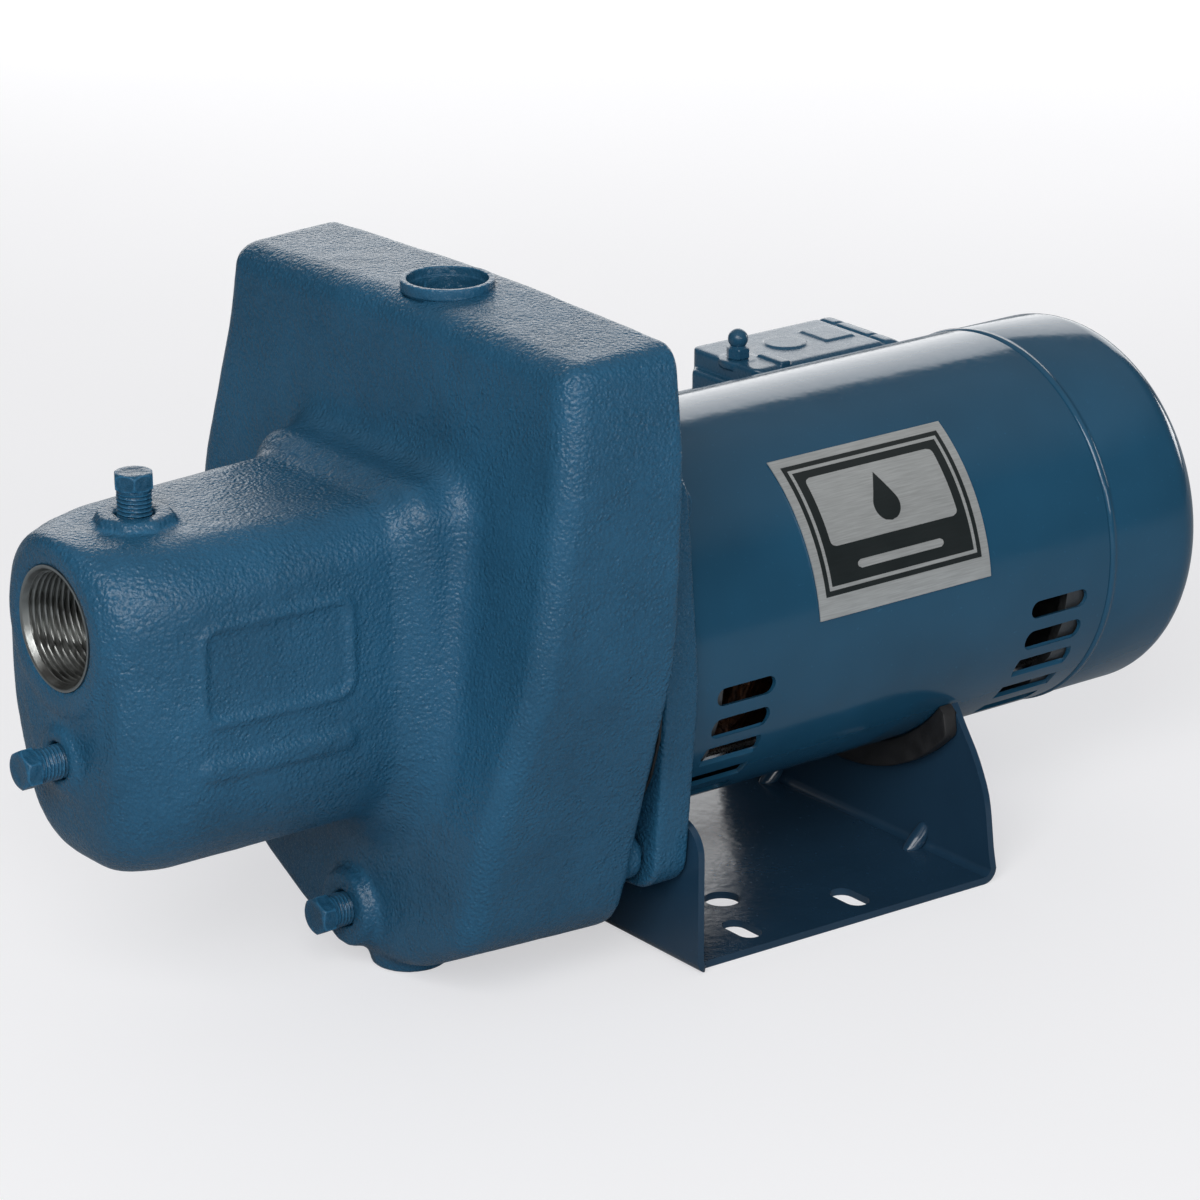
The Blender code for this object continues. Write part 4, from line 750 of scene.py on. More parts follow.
def pump_casting():
    f = Field((-0.290, -0.123, -0.004), (-0.082, 0.123, 0.250), CAST_CELL)
    side = outline_distance(tank_outline(), f.y[0], f.z[0])[None]
    side = side + TANK_DRAFT * np.clip((TANK_BACK_X - f.x) / 0.045, 0, 1.3)
    face_x = TANK_FACE_TOP_X - TANK_FACE_SLOPE * (TANK_TOP_Z - np.maximum(f.z, TANK_FACE_LIMIT_Z))
    front = (face_x - f.x) * math.cos(math.atan(TANK_FACE_SLOPE))
    tank = overlap(overlap(side, front, TANK_EDGE), f.x - TANK_BACK_X, 0.0015)
    hump = outline_distance(nose_outline(*HUMP_OUTLINE), f.y[0], f.z[0])[None]
    hump = overlap(hump, np.maximum(HUMP_X - f.x, f.x + 0.130), HUMP_EDGE)
    nose = nose_distance(f)
    body = union(tank, hump, 0.012)
    body = union(body, union(nose, raised_frame(f, nose)), 0.007)
    px, _, pz = PLUG_SEATS["priming_plug"]
    flats = [np.abs((f.x - px) * math.cos(math.radians(a)) + f.y * math.sin(math.radians(a)))
             for a in (22.5, 67.5, 112.5, 157.5)]
    octagon = np.maximum.reduce(np.broadcast_arrays(*flats)) - PRIMING_BOSS_R * math.cos(math.radians(22.5))
    priming = overlap(octagon, np.maximum(0.172 - f.z, f.z - (pz - 0.0078)), 0.0010)
    port, shaft, outlet = (0, PORT_Z), (0, SHAFT_Z), (DISCHARGE_X, 0)
    jet, drain = (0, PLUG_SEATS["cleanout_plug"][2]), (0, PLUG_SEATS["drain_plug"][2])
    lip_top = DISCHARGE_TOP_Z - 0.0012
    for boss, blend in (
        (f.rod("x", port, SUCTION_LIP_R, NOSE_FACE_X + 0.0003, -0.262, 0.0015), 0.0030),
        (priming, 0.0022),
        (f.rod("x", jet, CLEANOUT_BOSS_R, -0.2782, -0.262, 0.0012), 0.0040),
        (f.rod("x", drain, DRAIN_BOSS_R, -0.1655, -0.140, 0.0020), 0.0045),
        (f.rod("z", FOOT, FOOT_R, 0.0, 0.016, 0.0015), 0.0040),
        (f.rod("z", outlet, DISCHARGE_LIP_R - 0.0006, 0.215, lip_top, 0.0008), 0.0015),
        (f.rod("x", shaft, RING_R, -0.097, RING_X, 0.0006), 0.0020),
    ):
        body = union(body, boss, blend)
    for place in corner_places(SCREW_OFFSET):
        body = union(body, f.rod("x", place, SCREW_PAD_R, -0.112, RING_X - 0.0003, 0.0006), 0.0030)
    cavity = overlap(side + TANK_WALL, front + TANK_WALL, TANK_EDGE)
    cavity = overlap(cavity, f.x - (TANK_BACK_X - 0.0045))
    for hollow in (
        cavity,
        f.rod("x", shaft, PUMP_OPENING_R, -0.104, -0.080),
        f.rod("x", jet, 0.0300, -0.176, -0.135),  # from the hump into the tank
        f.rod("z", outlet, DISCHARGE_R + 0.0008, 0.210, 0.250),
        f.rod("x", port, SLEEVE_R - 0.0004, -0.290, -0.2525),  # seat of the threaded sleeve
        f.rod("x", port, SUCTION_PIPE_R, -0.260, -0.190),
        f.box((-0.240, -0.014, 0.112), (-0.188, 0.014, 0.150)),  # from the suction down to the jet
        f.rod("x", jet, 0.0240, -0.246, -0.182),  # suction chamber round the nozzle
        f.rod("x", jet, 0.0140, -0.268, -0.252),  # drive water's chamber
        f.rod("x", jet, 0.0093, -0.256, -0.240),  # nozzle's seat
        f.rod("x", (0, DRIVE_Z), 0.0060, -0.264, -0.145),
        f.rod("z", (DRIVE_X, 0), 0.0055, DRIVE_Z, 0.100),
        f.rod("x", jet, 0.0173, -0.186, -0.170),  # venturi's seat
        f.rod("z", (px, 0), PLUG_BORE_R, 0.170, 0.200),
        f.rod("x", jet, PLUG_BORE_R, -0.290, -0.264),
        f.rod("x", drain, PLUG_BORE_R, -0.180, -0.150),
        f.rod("x", (middle("tube_fitting").y, middle("tube_fitting").z), 0.0050, -0.104, -0.090),
    ):
        body = without(body, hollow)
    mesh = undulated(f.mesh("pump_casting", body), ((0.0090, 0.00009), (0.0034, 0.00005)))
    piece("pump_casting", mesh, "cast_paint", replaces=["pump_body"])


CORNERS = ("upper_near", "upper_far", "lower_near", "lower_far")


def corner_places(offset):
    """The four (y, z) places at equal offsets from the shaft's axis, in the order of CORNERS."""
    return [(sy * offset, SHAFT_Z + sz * offset) for sz in (1, -1) for sy in (-1, 1)]


def thread_ring(name, centre, along, low, high, inner, outer, pitch, depth, taper):
    """A sleeve with a real helical thread inside, chamfered at its mouth, which is at low."""
    steps, per_pitch = 128, 8
    rows = int((high - low) / pitch * per_pitch)
    rings = []

    def ring(t, radius):
        return [(radius * math.cos(2 * math.pi * i / steps), radius * math.sin(2 * math.pi * i / steps), t)
                for i in range(steps)]

    rings.append(ring(low, outer))
    rings.append(ring(low, inner + depth + 0.0004))
    for row in range(rows + 1):
        t = low + (high - low) * row / rows
        fade = min(1.0, row / per_pitch, (rows - row) / (1.5 * per_pitch))
        base = inner - taper * (t - low)
        points = []
        for i in range(steps):
            turn = ((t - low) / pitch + i / steps) % 1.0
            groove = 1 - abs(2 * turn - 1)
            groove = min(max((groove - 0.12) / 0.76, 0), 1)
            opening = depth * (1 - fade) if row < per_pitch else 0
            radius = base + max(depth * groove * fade, opening)
            a = 2 * math.pi * i / steps
            points.append((radius * math.cos(a), radius * math.sin(a), t + 0.0002))
        rings.append(points)
    rings.append(ring(high + 0.0004, inner - taper * (high - low) - 0.0002))
    rings.append(ring(high + 0.0004, outer))
    mesh = rings_mesh(name, rings, 40, closed_loop=True)
    mesh.transform(Matrix.Translation(centre) @ ALONG[along])
    return mesh


def ports():
    sleeve = thread_ring("suction_thread", (0, 0, PORT_Z), "X", NOSE_FACE_X + 0.0002, -0.2520,
                         SUCTION_R - 0.0016, SLEEVE_R, 0.00221, 0.0014, 1 / 32)
    piece("suction_thread", sleeve, "thread_metal")
    top = DISCHARGE_TOP_Z
    outer, inner, foot = DISCHARGE_R + 0.0012, DISCHARGE_R - 0.0005, top - 0.0120
    profile = [
        (foot, outer),
        (top - 0.0050, outer),
        (top - 0.0036, DISCHARGE_LIP_R),
        (top, DISCHARGE_LIP_R),
        (top, DISCHARGE_R),
        (top - 0.0028, DISCHARGE_R),
        (top - 0.0032, inner),
        (foot, inner),
    ]
    rim = turned("discharge_rim", profile, (DISCHARGE_X, 0, 0), "Z", 96, ease=0.0004)
    piece("discharge_rim", rim, "fitting_paint")


def hex_head(name, head_x, height, across, centre, along, dish=0.0):
    """A hexagon head with a turned chamfer, its underside at head_x."""
    flat = across * math.cos(math.pi / 6)
    rows = [
        (head_x, 0.0),
        (head_x, flat * 0.90),
        (head_x + 0.06 * height, flat * 1.02),
        (head_x + 0.14 * height, across),
    ]
    rows += [(head_x + (0.25 + 0.40 * i / 3) * height, across * 1.10) for i in range(4)]
    chamfer = 8
    for i in range(chamfer + 1):
        t = i / chamfer
        rows.append((head_x + (0.70 + 0.28 * t) * height, across * (1.06 - 0.22 * t * (0.6 + 0.4 * t))))
    top = head_x + height
    rows += [(top, flat * 0.86), (top, flat * 0.60), (top - dish, flat * 0.45), (top - dish, 0.0)]

    def reach(angle, _, radius):
        local = angle % (math.pi / 3) - math.pi / 6
        return min(radius, flat / math.cos(local) * 0.995)

    return turned(name, rows, centre, along, 96, reach=reach, angle=28)


def plug_mesh(name, centre, along):
    """A painted pipe plug: hexagon head and a shank whose thread shows under the head."""
    pitch, depth, start, end = 0.00141, 0.0007, -0.0008, -0.0175
    rows = int((start - end) / pitch * 8)
    profile = [(0.0008, 0.0), (0.0008, PLUG_R - 0.0003), (start, PLUG_R - 0.0003)]
    profile += [(start + (end - start) * (i + 1) / rows, PLUG_R) for i in range(rows)]
    profile += [(end - 0.0004, 0.0)]

    def reach(angle, t, radius):
        if t > start - 1e-6 or t < end:
            return radius
        turn = (t / pitch + angle / (2 * math.pi)) % 1.0
        fade = min(1.0, (start - t) / pitch)
        return radius - depth * fade * (1 - abs(2 * turn - 1))

    shank = turned(name + "_shank", profile, centre, along, 64, reach=reach, angle=50)
    head = hex_head(name + "_head", 0.0, PLUG_HEAD, 0.0072, centre, along, dish=0.0002)
    return joined(name, head, shank)


def plugs():
    for name, centre in PLUG_SEATS.items():
        mesh = plug_mesh(name + "_detail", centre, PLUG_ALONG[name])
        piece(name + "_detail", mesh, "fitting_paint", name, [name])


pump_casting()
ports()
plugs()


# ---------------------------------------------------------------- seal plate and its screws
PLATE_HALF = 0.0810
PLATE_EAR_Y = 0.0738
PLATE_EAR_Z = (0.0745, 0.0775)
SCREW_HEAD_R = 0.0073
SCREW_HEAD = 0.0055


def plate_outline():
    corners = []
    for u, v in ((1, 0), (0, 1), (-1, 0), (0, -1)):
        corners.append((PLATE_HALF * u, PLATE_HALF * v, 0.110))
        turn_u, turn_v = u - v, v + u
        corners.append((PLATE_EAR_Y * turn_u, PLATE_EAR_Z[turn_v > 0] * turn_v, 0.013))
    return [(y, SHAFT_Z + z) for y, z in rounded(corners, 8)]


def seal_plate():
    """The cast plate between pump and motor, with its motor register and seal bore."""
    front, back = -0.0850, -0.0704
    f = Field((-0.0925, -0.0850, 0.0240), (-0.0630, 0.0850, 0.1940), 0.0010)
    edge = outline_distance(plate_outline(), f.y[0], f.z[0])[None]
    body = overlap(edge, np.maximum(front - f.x, f.x - back), 0.0011)
    axis = (0, SHAFT_Z)
    register = f.rod("x", axis, 0.050, -0.0730, -0.0664, 0.0008)
    register = without(register, f.rod("x", axis, 0.045, -0.0720, -0.060))
    spigot = f.rod("x", axis, 0.0697, -0.0900, -0.0840, 0.0008)
    spigot = without(spigot, f.rod("x", axis, 0.0655, -0.1, -0.0845))
    body = union(union(body, register, 0.0020), spigot, 0.0010)
    body = without(body, f.rod("x", axis, 0.0172, -0.1, -0.0757))
    body = without(body, f.rod("x", axis, 0.0105, -0.1, -0.060))
    for place in corner_places(SCREW_OFFSET):
        body = without(body, f.rod("x", place, 0.0045, -0.1, -0.060))
    mesh = undulated(f.mesh("seal_plate_cast", body), ((0.0075, 0.00010),))
    piece("seal_plate_cast", mesh, "cast_paint", replaces=["seal_plate"])


def plate_screws():
    for corner, (y, z) in zip(CORNERS, corner_places(SCREW_OFFSET)):
        node = "plate_screw_" + corner
        low, high = span(node, "x")
        seat = high - SCREW_HEAD
        centre = (0, y, z)
        top = seat + 0.0016
        rim = [(seat, 0.0), (seat, 0.0082), (seat + 0.0010, 0.0082), (top, 0.0066), (top, 0.0)]
        washer = turned(node + "_flange", rim, centre, "X", 48, ease=0.0002)
        head = hex_head(node + "_head", seat + 0.0004, SCREW_HEAD - 0.0004, SCREW_HEAD_R, centre, "X", 0.0003)
        pin = [(seat + 0.001, 0.0), (seat + 0.001, 0.0039), (low + 0.0006, 0.0039), (low, 0.0033), (low, 0.0)]
        shank = turned(node + "_shank", pin, centre, "X", 32)
        mesh = joined(node + "_detail", washer, head, shank)
        piece(node + "_detail", mesh, "fitting_paint", replaces=[node])


# ---------------------------------------------------------------- motor outside
SHELL_WALL = 0.0016
VENT_SPANS = ((-0.0545, -0.0284), (0.0925, 0.1198))
VENT_ANGLES = (-8.2, -18.8, -29.8, -41.6, -53.0)
VENT_HALF_WIDTH = 0.0034
CONDUIT = (0.100, 0.118)
CONDUIT_R = 0.0105
CAP_SCREWS = ("cap_screw_upper", "cap_screw_lower")
ROUND_STEPS = 256


def polar(angle, radius):
    """(y, z) on a circle round the shaft, with angles up from the near side's level."""
    a = math.radians(angle)
    return -radius * math.cos(a), SHAFT_Z + radius * math.sin(a)


def round_normals(mesh):
    """Shades the faces that follow the shell's round as one true cylinder."""
    normals = []
    for polygon in mesh.polygons:
        for loop in polygon.loop_indices:
            place = mesh.vertices[mesh.loops[loop].vertex_index].co
            radial = Vector((0, place.y, place.z - SHAFT_Z)).normalized()
            facing = polygon.normal.dot(radial)
            normals.append(radial * math.copysign(1, facing) if abs(facing) > 0.9 else polygon.normal)
    mesh.shade_smooth()
    mesh.normals_split_custom_set(normals)
    return mesh


def slot_outline(low, high, half):
    """A slot along the first axis, half being both its half width and the radius of its ends."""
    steps = 10
    points = []
    for centre, start in ((high - half, -90), (low + half, 90)):
        for i in range(steps + 1):
            a = math.radians(start + 180 * i / steps)
            points.append((centre + half * math.cos(a), half * math.sin(a)))
    return points


def drill(centre, along, radius, low, high, steps):
    """A cutter for a round hole."""
    return turned("hole", [(high, 0), (high, radius), (low, radius), (low, 0)], centre, along, steps)


def motor_tube():
    low, high = SHELL_X
    inner = MOTOR_R - SHELL_WALL
    wall = [(high, MOTOR_R), (low, MOTOR_R), (low, inner), (high, inner)]
    shell = turned("motor_tube", wall, (0, 0, SHAFT_Z), "X", ROUND_STEPS)
    tools = []
    for vent in VENT_SPANS:
        for angle in VENT_ANGLES:
            for side in (-1, 1):
                tool = flat_solid("vent", [slot_outline(*vent, VENT_HALF_WIDTH)], -0.004, 0.004, "Z")
                y, z = polar(angle, MOTOR_R)
                turn = Matrix.Rotation(math.radians(90 + angle) * -side, 4, "X")
                tool.transform(Matrix.Translation((0, y * -side, z)) @ turn)
                tools.append(tool)
    x, z = CONDUIT
    tools.append(drill((x, 0, z), "Y", CONDUIT_R + 0.0006, 0.055, 0.085, 48))
    mesh = cut_mesh("motor_tube", shell, joined("vents", *tools))
    piece("motor_tube", round_normals(mesh), "sheet_paint", replaces=["motor_shell"])


def motor_cap():
    """The drawn end cap: a rolled bead at its mouth, a soft rim and a shallow step in its end."""
    seam, end = CAP_X
    along, across, r, wall = 0.0200, 0.0340, MOTOR_R, SHELL_WALL
    turns = [math.radians(90 * i / 24) for i in range(25)]

    def rim(thickness):
        """The quarter ellipse of the rim, at the outside or a wall's thickness in."""
        reach_x, reach_r = along - thickness, across - thickness
        return [(end - along + reach_x * math.cos(a), r - across + reach_r * math.sin(a)) for a in turns]

    bead = [
        (seam + 0.0042, r),
        (seam + 0.0034, r - 0.0002),
        (seam + 0.0026, r + 0.0003),
        (seam + 0.0018, r + 0.0006),
        (seam + 0.0008, r + 0.0004),
        (seam + 0.0002, r - 0.0004),
        (seam, r - 0.0011),
        (seam, r - wall),
    ]
    dish, inner_end = end - 0.0012, end - wall
    profile = [(dish, 0), (dish, 0.0200), (end - 0.0010, 0.0212), (end - 0.0002, 0.0224), (end, 0.0236)]
    profile += rim(0.0) + bead + rim(wall)[::-1]
    profile += [(inner_end, 0.0236), (inner_end - 0.0012, 0.0200), (inner_end - 0.0012, 0)]
    cap = turned("motor_cap", profile, (0, 0, SHAFT_Z), "X", ROUND_STEPS, angle=50)
    holes = [drill((0, 0, middle(name).z), "X", 0.0026, 0.180, 0.190, 32) for name in CAP_SCREWS]
    mesh = smooth(cut_mesh("motor_cap", cap, joined("holes", *holes)), 50)
    piece("motor_cap", mesh, "sheet_paint", "end_cap", ["motor_end_cap"])


def cap_screws():
    """Round slotted screws, which stay in the cap."""
    for name in CAP_SCREWS:
        low, high = span(name, "x")
        head = high - 0.0024
        dome = [(high, 0), (high - 0.0001, 0.0015), (high - 0.0007, 0.0033), (high - 0.0016, 0.0044)]
        shank = [(head, 0.0019), (low + 0.0005, 0.0019), (low, 0.0014), (low, 0)]
        profile = dome + [(head, 0.0046)] + shank
        centre = (0, 0, middle(name).z)
        screw = turned(name + "_detail", profile, centre, "X", 48, ease=0.0002)
        slot = flat_solid("slot", [[(-0.006, -0.0005), (0.006, -0.0005), (0.006, 0.0005), (-0.006, 0.0005)]],
                          high - 0.0010, high + 0.001, "X")
        slot.transform(Matrix.Translation(centre))
        mesh = smooth(cut_mesh(name + "_detail", screw, slot), 30)
        piece(name + "_detail", mesh, "bright_steel", "end_cap", [name])


LABEL_ANGLES = (6.8, 55.5)
LABEL_R = MOTOR_R + 0.0003
LABEL_T = 0.0004
PRINT_T = 0.00007


def label_patch(name, finish, v_low, v_high, sides, layer, replaces=()):
    """A thin sheet bent with the shell. sides(v) gives its left and right ends at each height."""
    base = LABEL_R + (LABEL_T if layer else 0.0) + PRINT_T * max(layer - 1, 0)
    top = LABEL_R + LABEL_T + PRINT_T * layer
    rows = max(3, int((v_high - v_low) / 0.0006))
    rings = []
    for i in range(rows + 1):
        v = v_low + (v_high - v_low) * i / rows
        left, right = sides(v)
        angle = LABEL_ANGLES[0] + math.degrees(v / MOTOR_R)
        section = [(left, top), (right, top), (right, base), (left, base)]
        rings.append([(LABEL_X[0] + u, *polar(angle, r)) for u, r in section])
    piece(name, rings_mesh(name, rings, 40, caps=True), finish, replaces=replaces)


def label():
    """Silver foil with a black double-lined field, a plain silver panel, a water drop and a plain bar."""
    width = LABEL_X[1] - LABEL_X[0]
    height = math.radians(LABEL_ANGLES[1] - LABEL_ANGLES[0]) * MOTOR_R
    side, low, high = 0.0036, 0.0078, height - 0.0036
    line, gap = 0.0013, 0.0019
    label_patch("label_foil_sheet", "label_foil", 0, height, lambda v: (0, width), 0, ["name_label"])
    label_patch("label_field", "label_print", low, high, lambda v: (side, width - side), 1)
    near, far = side + gap, width - side - gap
    bottom, top = low + gap, high - gap
    for edge, v0, v1, u0, u1 in (
        ("bottom", bottom, bottom + line, near, far),
        ("top", top - line, top, near, far),
        ("left", bottom + line, top - line, near, near + line),
        ("right", bottom + line, top - line, far - line, far),
    ):
        label_patch("label_line_" + edge, "label_foil", v0, v1, lambda v: (u0, u1), 2)

    def rounded_bar(u0, u1, v0, v1, corner):
        def sides(v):
            edge = min(v - v0, v1 - v)
            cut = corner - math.sqrt(max(corner ** 2 - max(corner - edge, 0) ** 2, 0))
            return u0 + cut, u1 - cut
        return v0, v1, sides

    panel = rounded_bar(0.0105, width - 0.0105, 0.0245, high - 0.0062, 0.0022)
    label_patch("label_panel", "label_foil", *panel, 2)
    label_patch("label_bar", "label_foil", *rounded_bar(0.0200, width - 0.0200, 0.0150, 0.0180, 0.0014), 2)

    middle_u, drop_low, drop_r = width / 2, 0.0285, 0.0058
    drop_centre, drop_tip = drop_low + drop_r, drop_low + 0.0185
    tangent = math.asin(drop_r / (drop_tip - drop_centre))

    def drop(v):
        """Half width of a drop: a circle below and a straight taper to its tip above."""
        shoulder = drop_centre + drop_r * math.sin(tangent)
        if v < shoulder:
            half = math.sqrt(max(drop_r ** 2 - (v - drop_centre) ** 2, 0))
        else:
            half = (drop_tip - v) * math.tan(tangent)
        return middle_u - half - 1e-5, middle_u + half + 1e-5

    label_patch("label_drop", "label_print", drop_low, drop_tip, drop, 3)


# ---------------------------------------------------------------- base and pad
BASE_T = 0.0027
BASE_BEND_R = 0.0055
FRONT_UPRIGHT_TOP_Z = 0.0570
SADDLE_R = 0.0758
SADDLE_HALF_WIDTH = 0.0540
SLOT_CENTRES = ((-0.0353, 0.0618), (0.0138, 0.0632))
SLOT_HALF_WIDTH = 0.0046
SLOT_HALF_LENGTH = 0.0088
ROUND_HOLE = (-0.024, 0.0365, 0.0067)
GUSSET_Y = 0.0420
FLAT_HALF = BASE_X[1] - BASE_BEND_R  # half the length of the floor, between the bends
BEND_MID_R = BASE_BEND_R - BASE_T / 2
BEND_LENGTH = BEND_MID_R * math.pi / 2
PAD_R = 0.0815
PAD_END_ANGLE = 38.5


def unrolled(z):
    """How far along the flat strip, from its middle, a height on an upright lies."""
    return FLAT_HALF + BEND_LENGTH + z - BASE_BEND_R


def bent(s, y):
    """A point of the base's mid surface, from its distance s along the strip: floor, bend, then upright."""
    side, along = math.copysign(1, s), abs(s)
    if along <= FLAT_HALF:
        return s, y, BASE_T / 2
    if along <= FLAT_HALF + BEND_LENGTH:
        a = (along - FLAT_HALF) / BEND_MID_R
        return side * (FLAT_HALF + BEND_MID_R * math.sin(a)), y, BASE_BEND_R - BEND_MID_R * math.cos(a)
    return side * (BASE_X[1] - BASE_T / 2), y, BASE_BEND_R + along - FLAT_HALF - BEND_LENGTH


def circle(u, v, radius, steps):
    turns = [math.tau * i / steps for i in range(steps)]
    return [(u + radius * math.cos(a), v + radius * math.sin(a)) for a in turns]


def base_outline():
    """The edge of the flat strip as (along, across): front upright, floor, rear upright with its saddle."""
    front = ((0.0800, FRONT_UPRIGHT_TOP_Z - 0.004, 0.012), (0.0560, FRONT_UPRIGHT_TOP_Z + 0.003, 0.004),
             (0.0480, 0.0500, 0.004), (0.0200, 0.0270, 0.020))
    corners = [(-unrolled(z), y, r) for y, z, r in front]
    corners += [(s, -y, r) for s, y, r in reversed(corners)]
    corners = [(-FLAT_HALF, 0.0800, 0.004)] + corners + [(-FLAT_HALF, -0.0800, 0.004)]
    rear_side = [(0.0800, BASE_BEND_R), (0.0785, 0.012), (0.0757, 0.030), (0.0697, 0.044), (0.0610, 0.0565),
                 (0.0564, 0.0632)]
    heights = np.linspace(rear_side[0][1], rear_side[-1][1], 16)
    places, widths = np.array([z for _, z in rear_side]), np.array([y for y, _ in rear_side])
    edge = [(unrolled(z), float(steady_curve(places, widths, z))) for z in heights]
    half_angle = math.asin(SADDLE_HALF_WIDTH / SADDLE_R)
    saddle = []
    for i in range(41):
        a = half_angle * (1 - i / 20)
        saddle.append((unrolled(SHAFT_Z - SADDLE_R * math.cos(a)), SADDLE_R * math.sin(a)))
    rear = edge + saddle + [(s, -y) for s, y in reversed(edge)]
    return rounded(corners, 6) + [(s, -y) for s, y in rear]


def base_holes():
    """Slots and round holes in the floor, and holes for the two lower plate screws in the front upright."""
    holes = []
    for x, y in SLOT_CENTRES:
        for side in (-1, 1):
            ring = slot_outline(side * y - SLOT_HALF_LENGTH, side * y + SLOT_HALF_LENGTH, SLOT_HALF_WIDTH)
            holes.append([(x + v, u) for u, v in ring])
    x, y, radius = ROUND_HOLE
    holes += [circle(x, side * y, radius, 40) for side in (-1, 1)]
    return holes + [circle(-unrolled(z), y, 0.0044, 28) for y, z in corner_places(SCREW_OFFSET)[2:]]


def base_bracket():
    """One strip of steel, cut flat with its holes and then bent into a U."""
    blank = modified("base_blank", filled_curve("base_blank", [base_outline()] + base_holes(), "FRONT"))
    bm = bmesh.new()
    bm.from_mesh(blank)
    for side in (-1, 1):
        for i in range(11):
            place = (side * (FLAT_HALF + BEND_LENGTH * i / 10), 0, 0)
            bmesh.ops.bisect_plane(bm, geom=bm.verts[:] + bm.edges[:] + bm.faces[:], plane_co=place,
                                   plane_no=(1, 0, 0))
    for vert in bm.verts:
        vert.co = bent(vert.co.x, vert.co.y)
    mesh = mesh_of(bm, "base_bracket")
    mesh = modified("base_bracket", bpy.data.objects.new("base_bracket", mesh), 0.0006, 3, thickness=BASE_T)
    piece("base_bracket", mesh, "base_paint", replaces=["base"])


def base_gussets():
    """The stamped ridges in the corner between the floor and the rear upright."""
    inner_x, reach = BASE_X[1] - BASE_T, 0.0090
    for side, hand in ((-1, "near"), (1, "far")):
        low = (inner_x - 0.014, side * GUSSET_Y - 0.007, 0.0010)
        high = (inner_x + 0.0012, side * GUSSET_Y + 0.007, 0.018)
        f = Field(low, high, 0.0005)
        along = ((inner_x - f.x) - (f.z - BASE_T)) / math.sqrt(2)
        away = ((inner_x - f.x) + (f.z - BASE_T)) / math.sqrt(2) - reach / math.sqrt(2) + 0.0026
        ridge = np.hypot(f.y - side * GUSSET_Y, np.maximum(away, -0.004)) - 0.0034 + 0.06 * np.abs(along)
        slab = np.maximum(np.maximum(f.x - inner_x - 0.0006, 0.0021 - f.z), ridge)
        mesh = f.mesh(f"base_gusset_{hand}", slab, 2)
        piece(f"base_gusset_{hand}", mesh, "base_paint")


def motor_pad():
    """The rubber pad that the motor's rear rests on: a band with soft edges and a lip in the saddle."""
    front, back = PAD_X
    seat = front + 0.0058
    inner = MOTOR_R + 0.0003
    lip_r = SADDLE_R - 0.0003
    band = [(front, inner), (front, PAD_R), (seat, PAD_R), (seat, lip_r), (back, lip_r), (back, inner)]
    section = eased([band[-1]] + band + [band[0]], 0.0008, 4)[1:-1]
    lip = math.degrees(math.asin((SADDLE_HALF_WIDTH - 0.003) / SADDLE_R))
    rings = []
    steps = 90
    for i in range(steps + 1):
        angle = -PAD_END_ANGLE - (180 - 2 * PAD_END_ANGLE) * i / steps
        from_bottom = abs(angle + 90)
        fade = min(max((lip - from_bottom) / 2.0, 0), 1)
        taper = min(1.0, 0.35 + (90 - PAD_END_ANGLE - from_bottom) / 6.0)
        ring = []
        for x, r in section:
            if x > seat + 1e-4:
                x = seat + 0.0001 + (x - seat) * fade
            radius = inner + (r - inner) * (taper if r > SADDLE_R else 1.0)
            ring.append((x, *polar(angle, radius)))
        rings.append(ring)
    mesh = rings_mesh("motor_cushion", rings, 50, caps=True)
    piece("motor_cushion", mesh, "black_rubber", replaces=["motor_pad"])


# ---------------------------------------------------------------- pressure switch outside
SWITCH_WALL = 0.0016


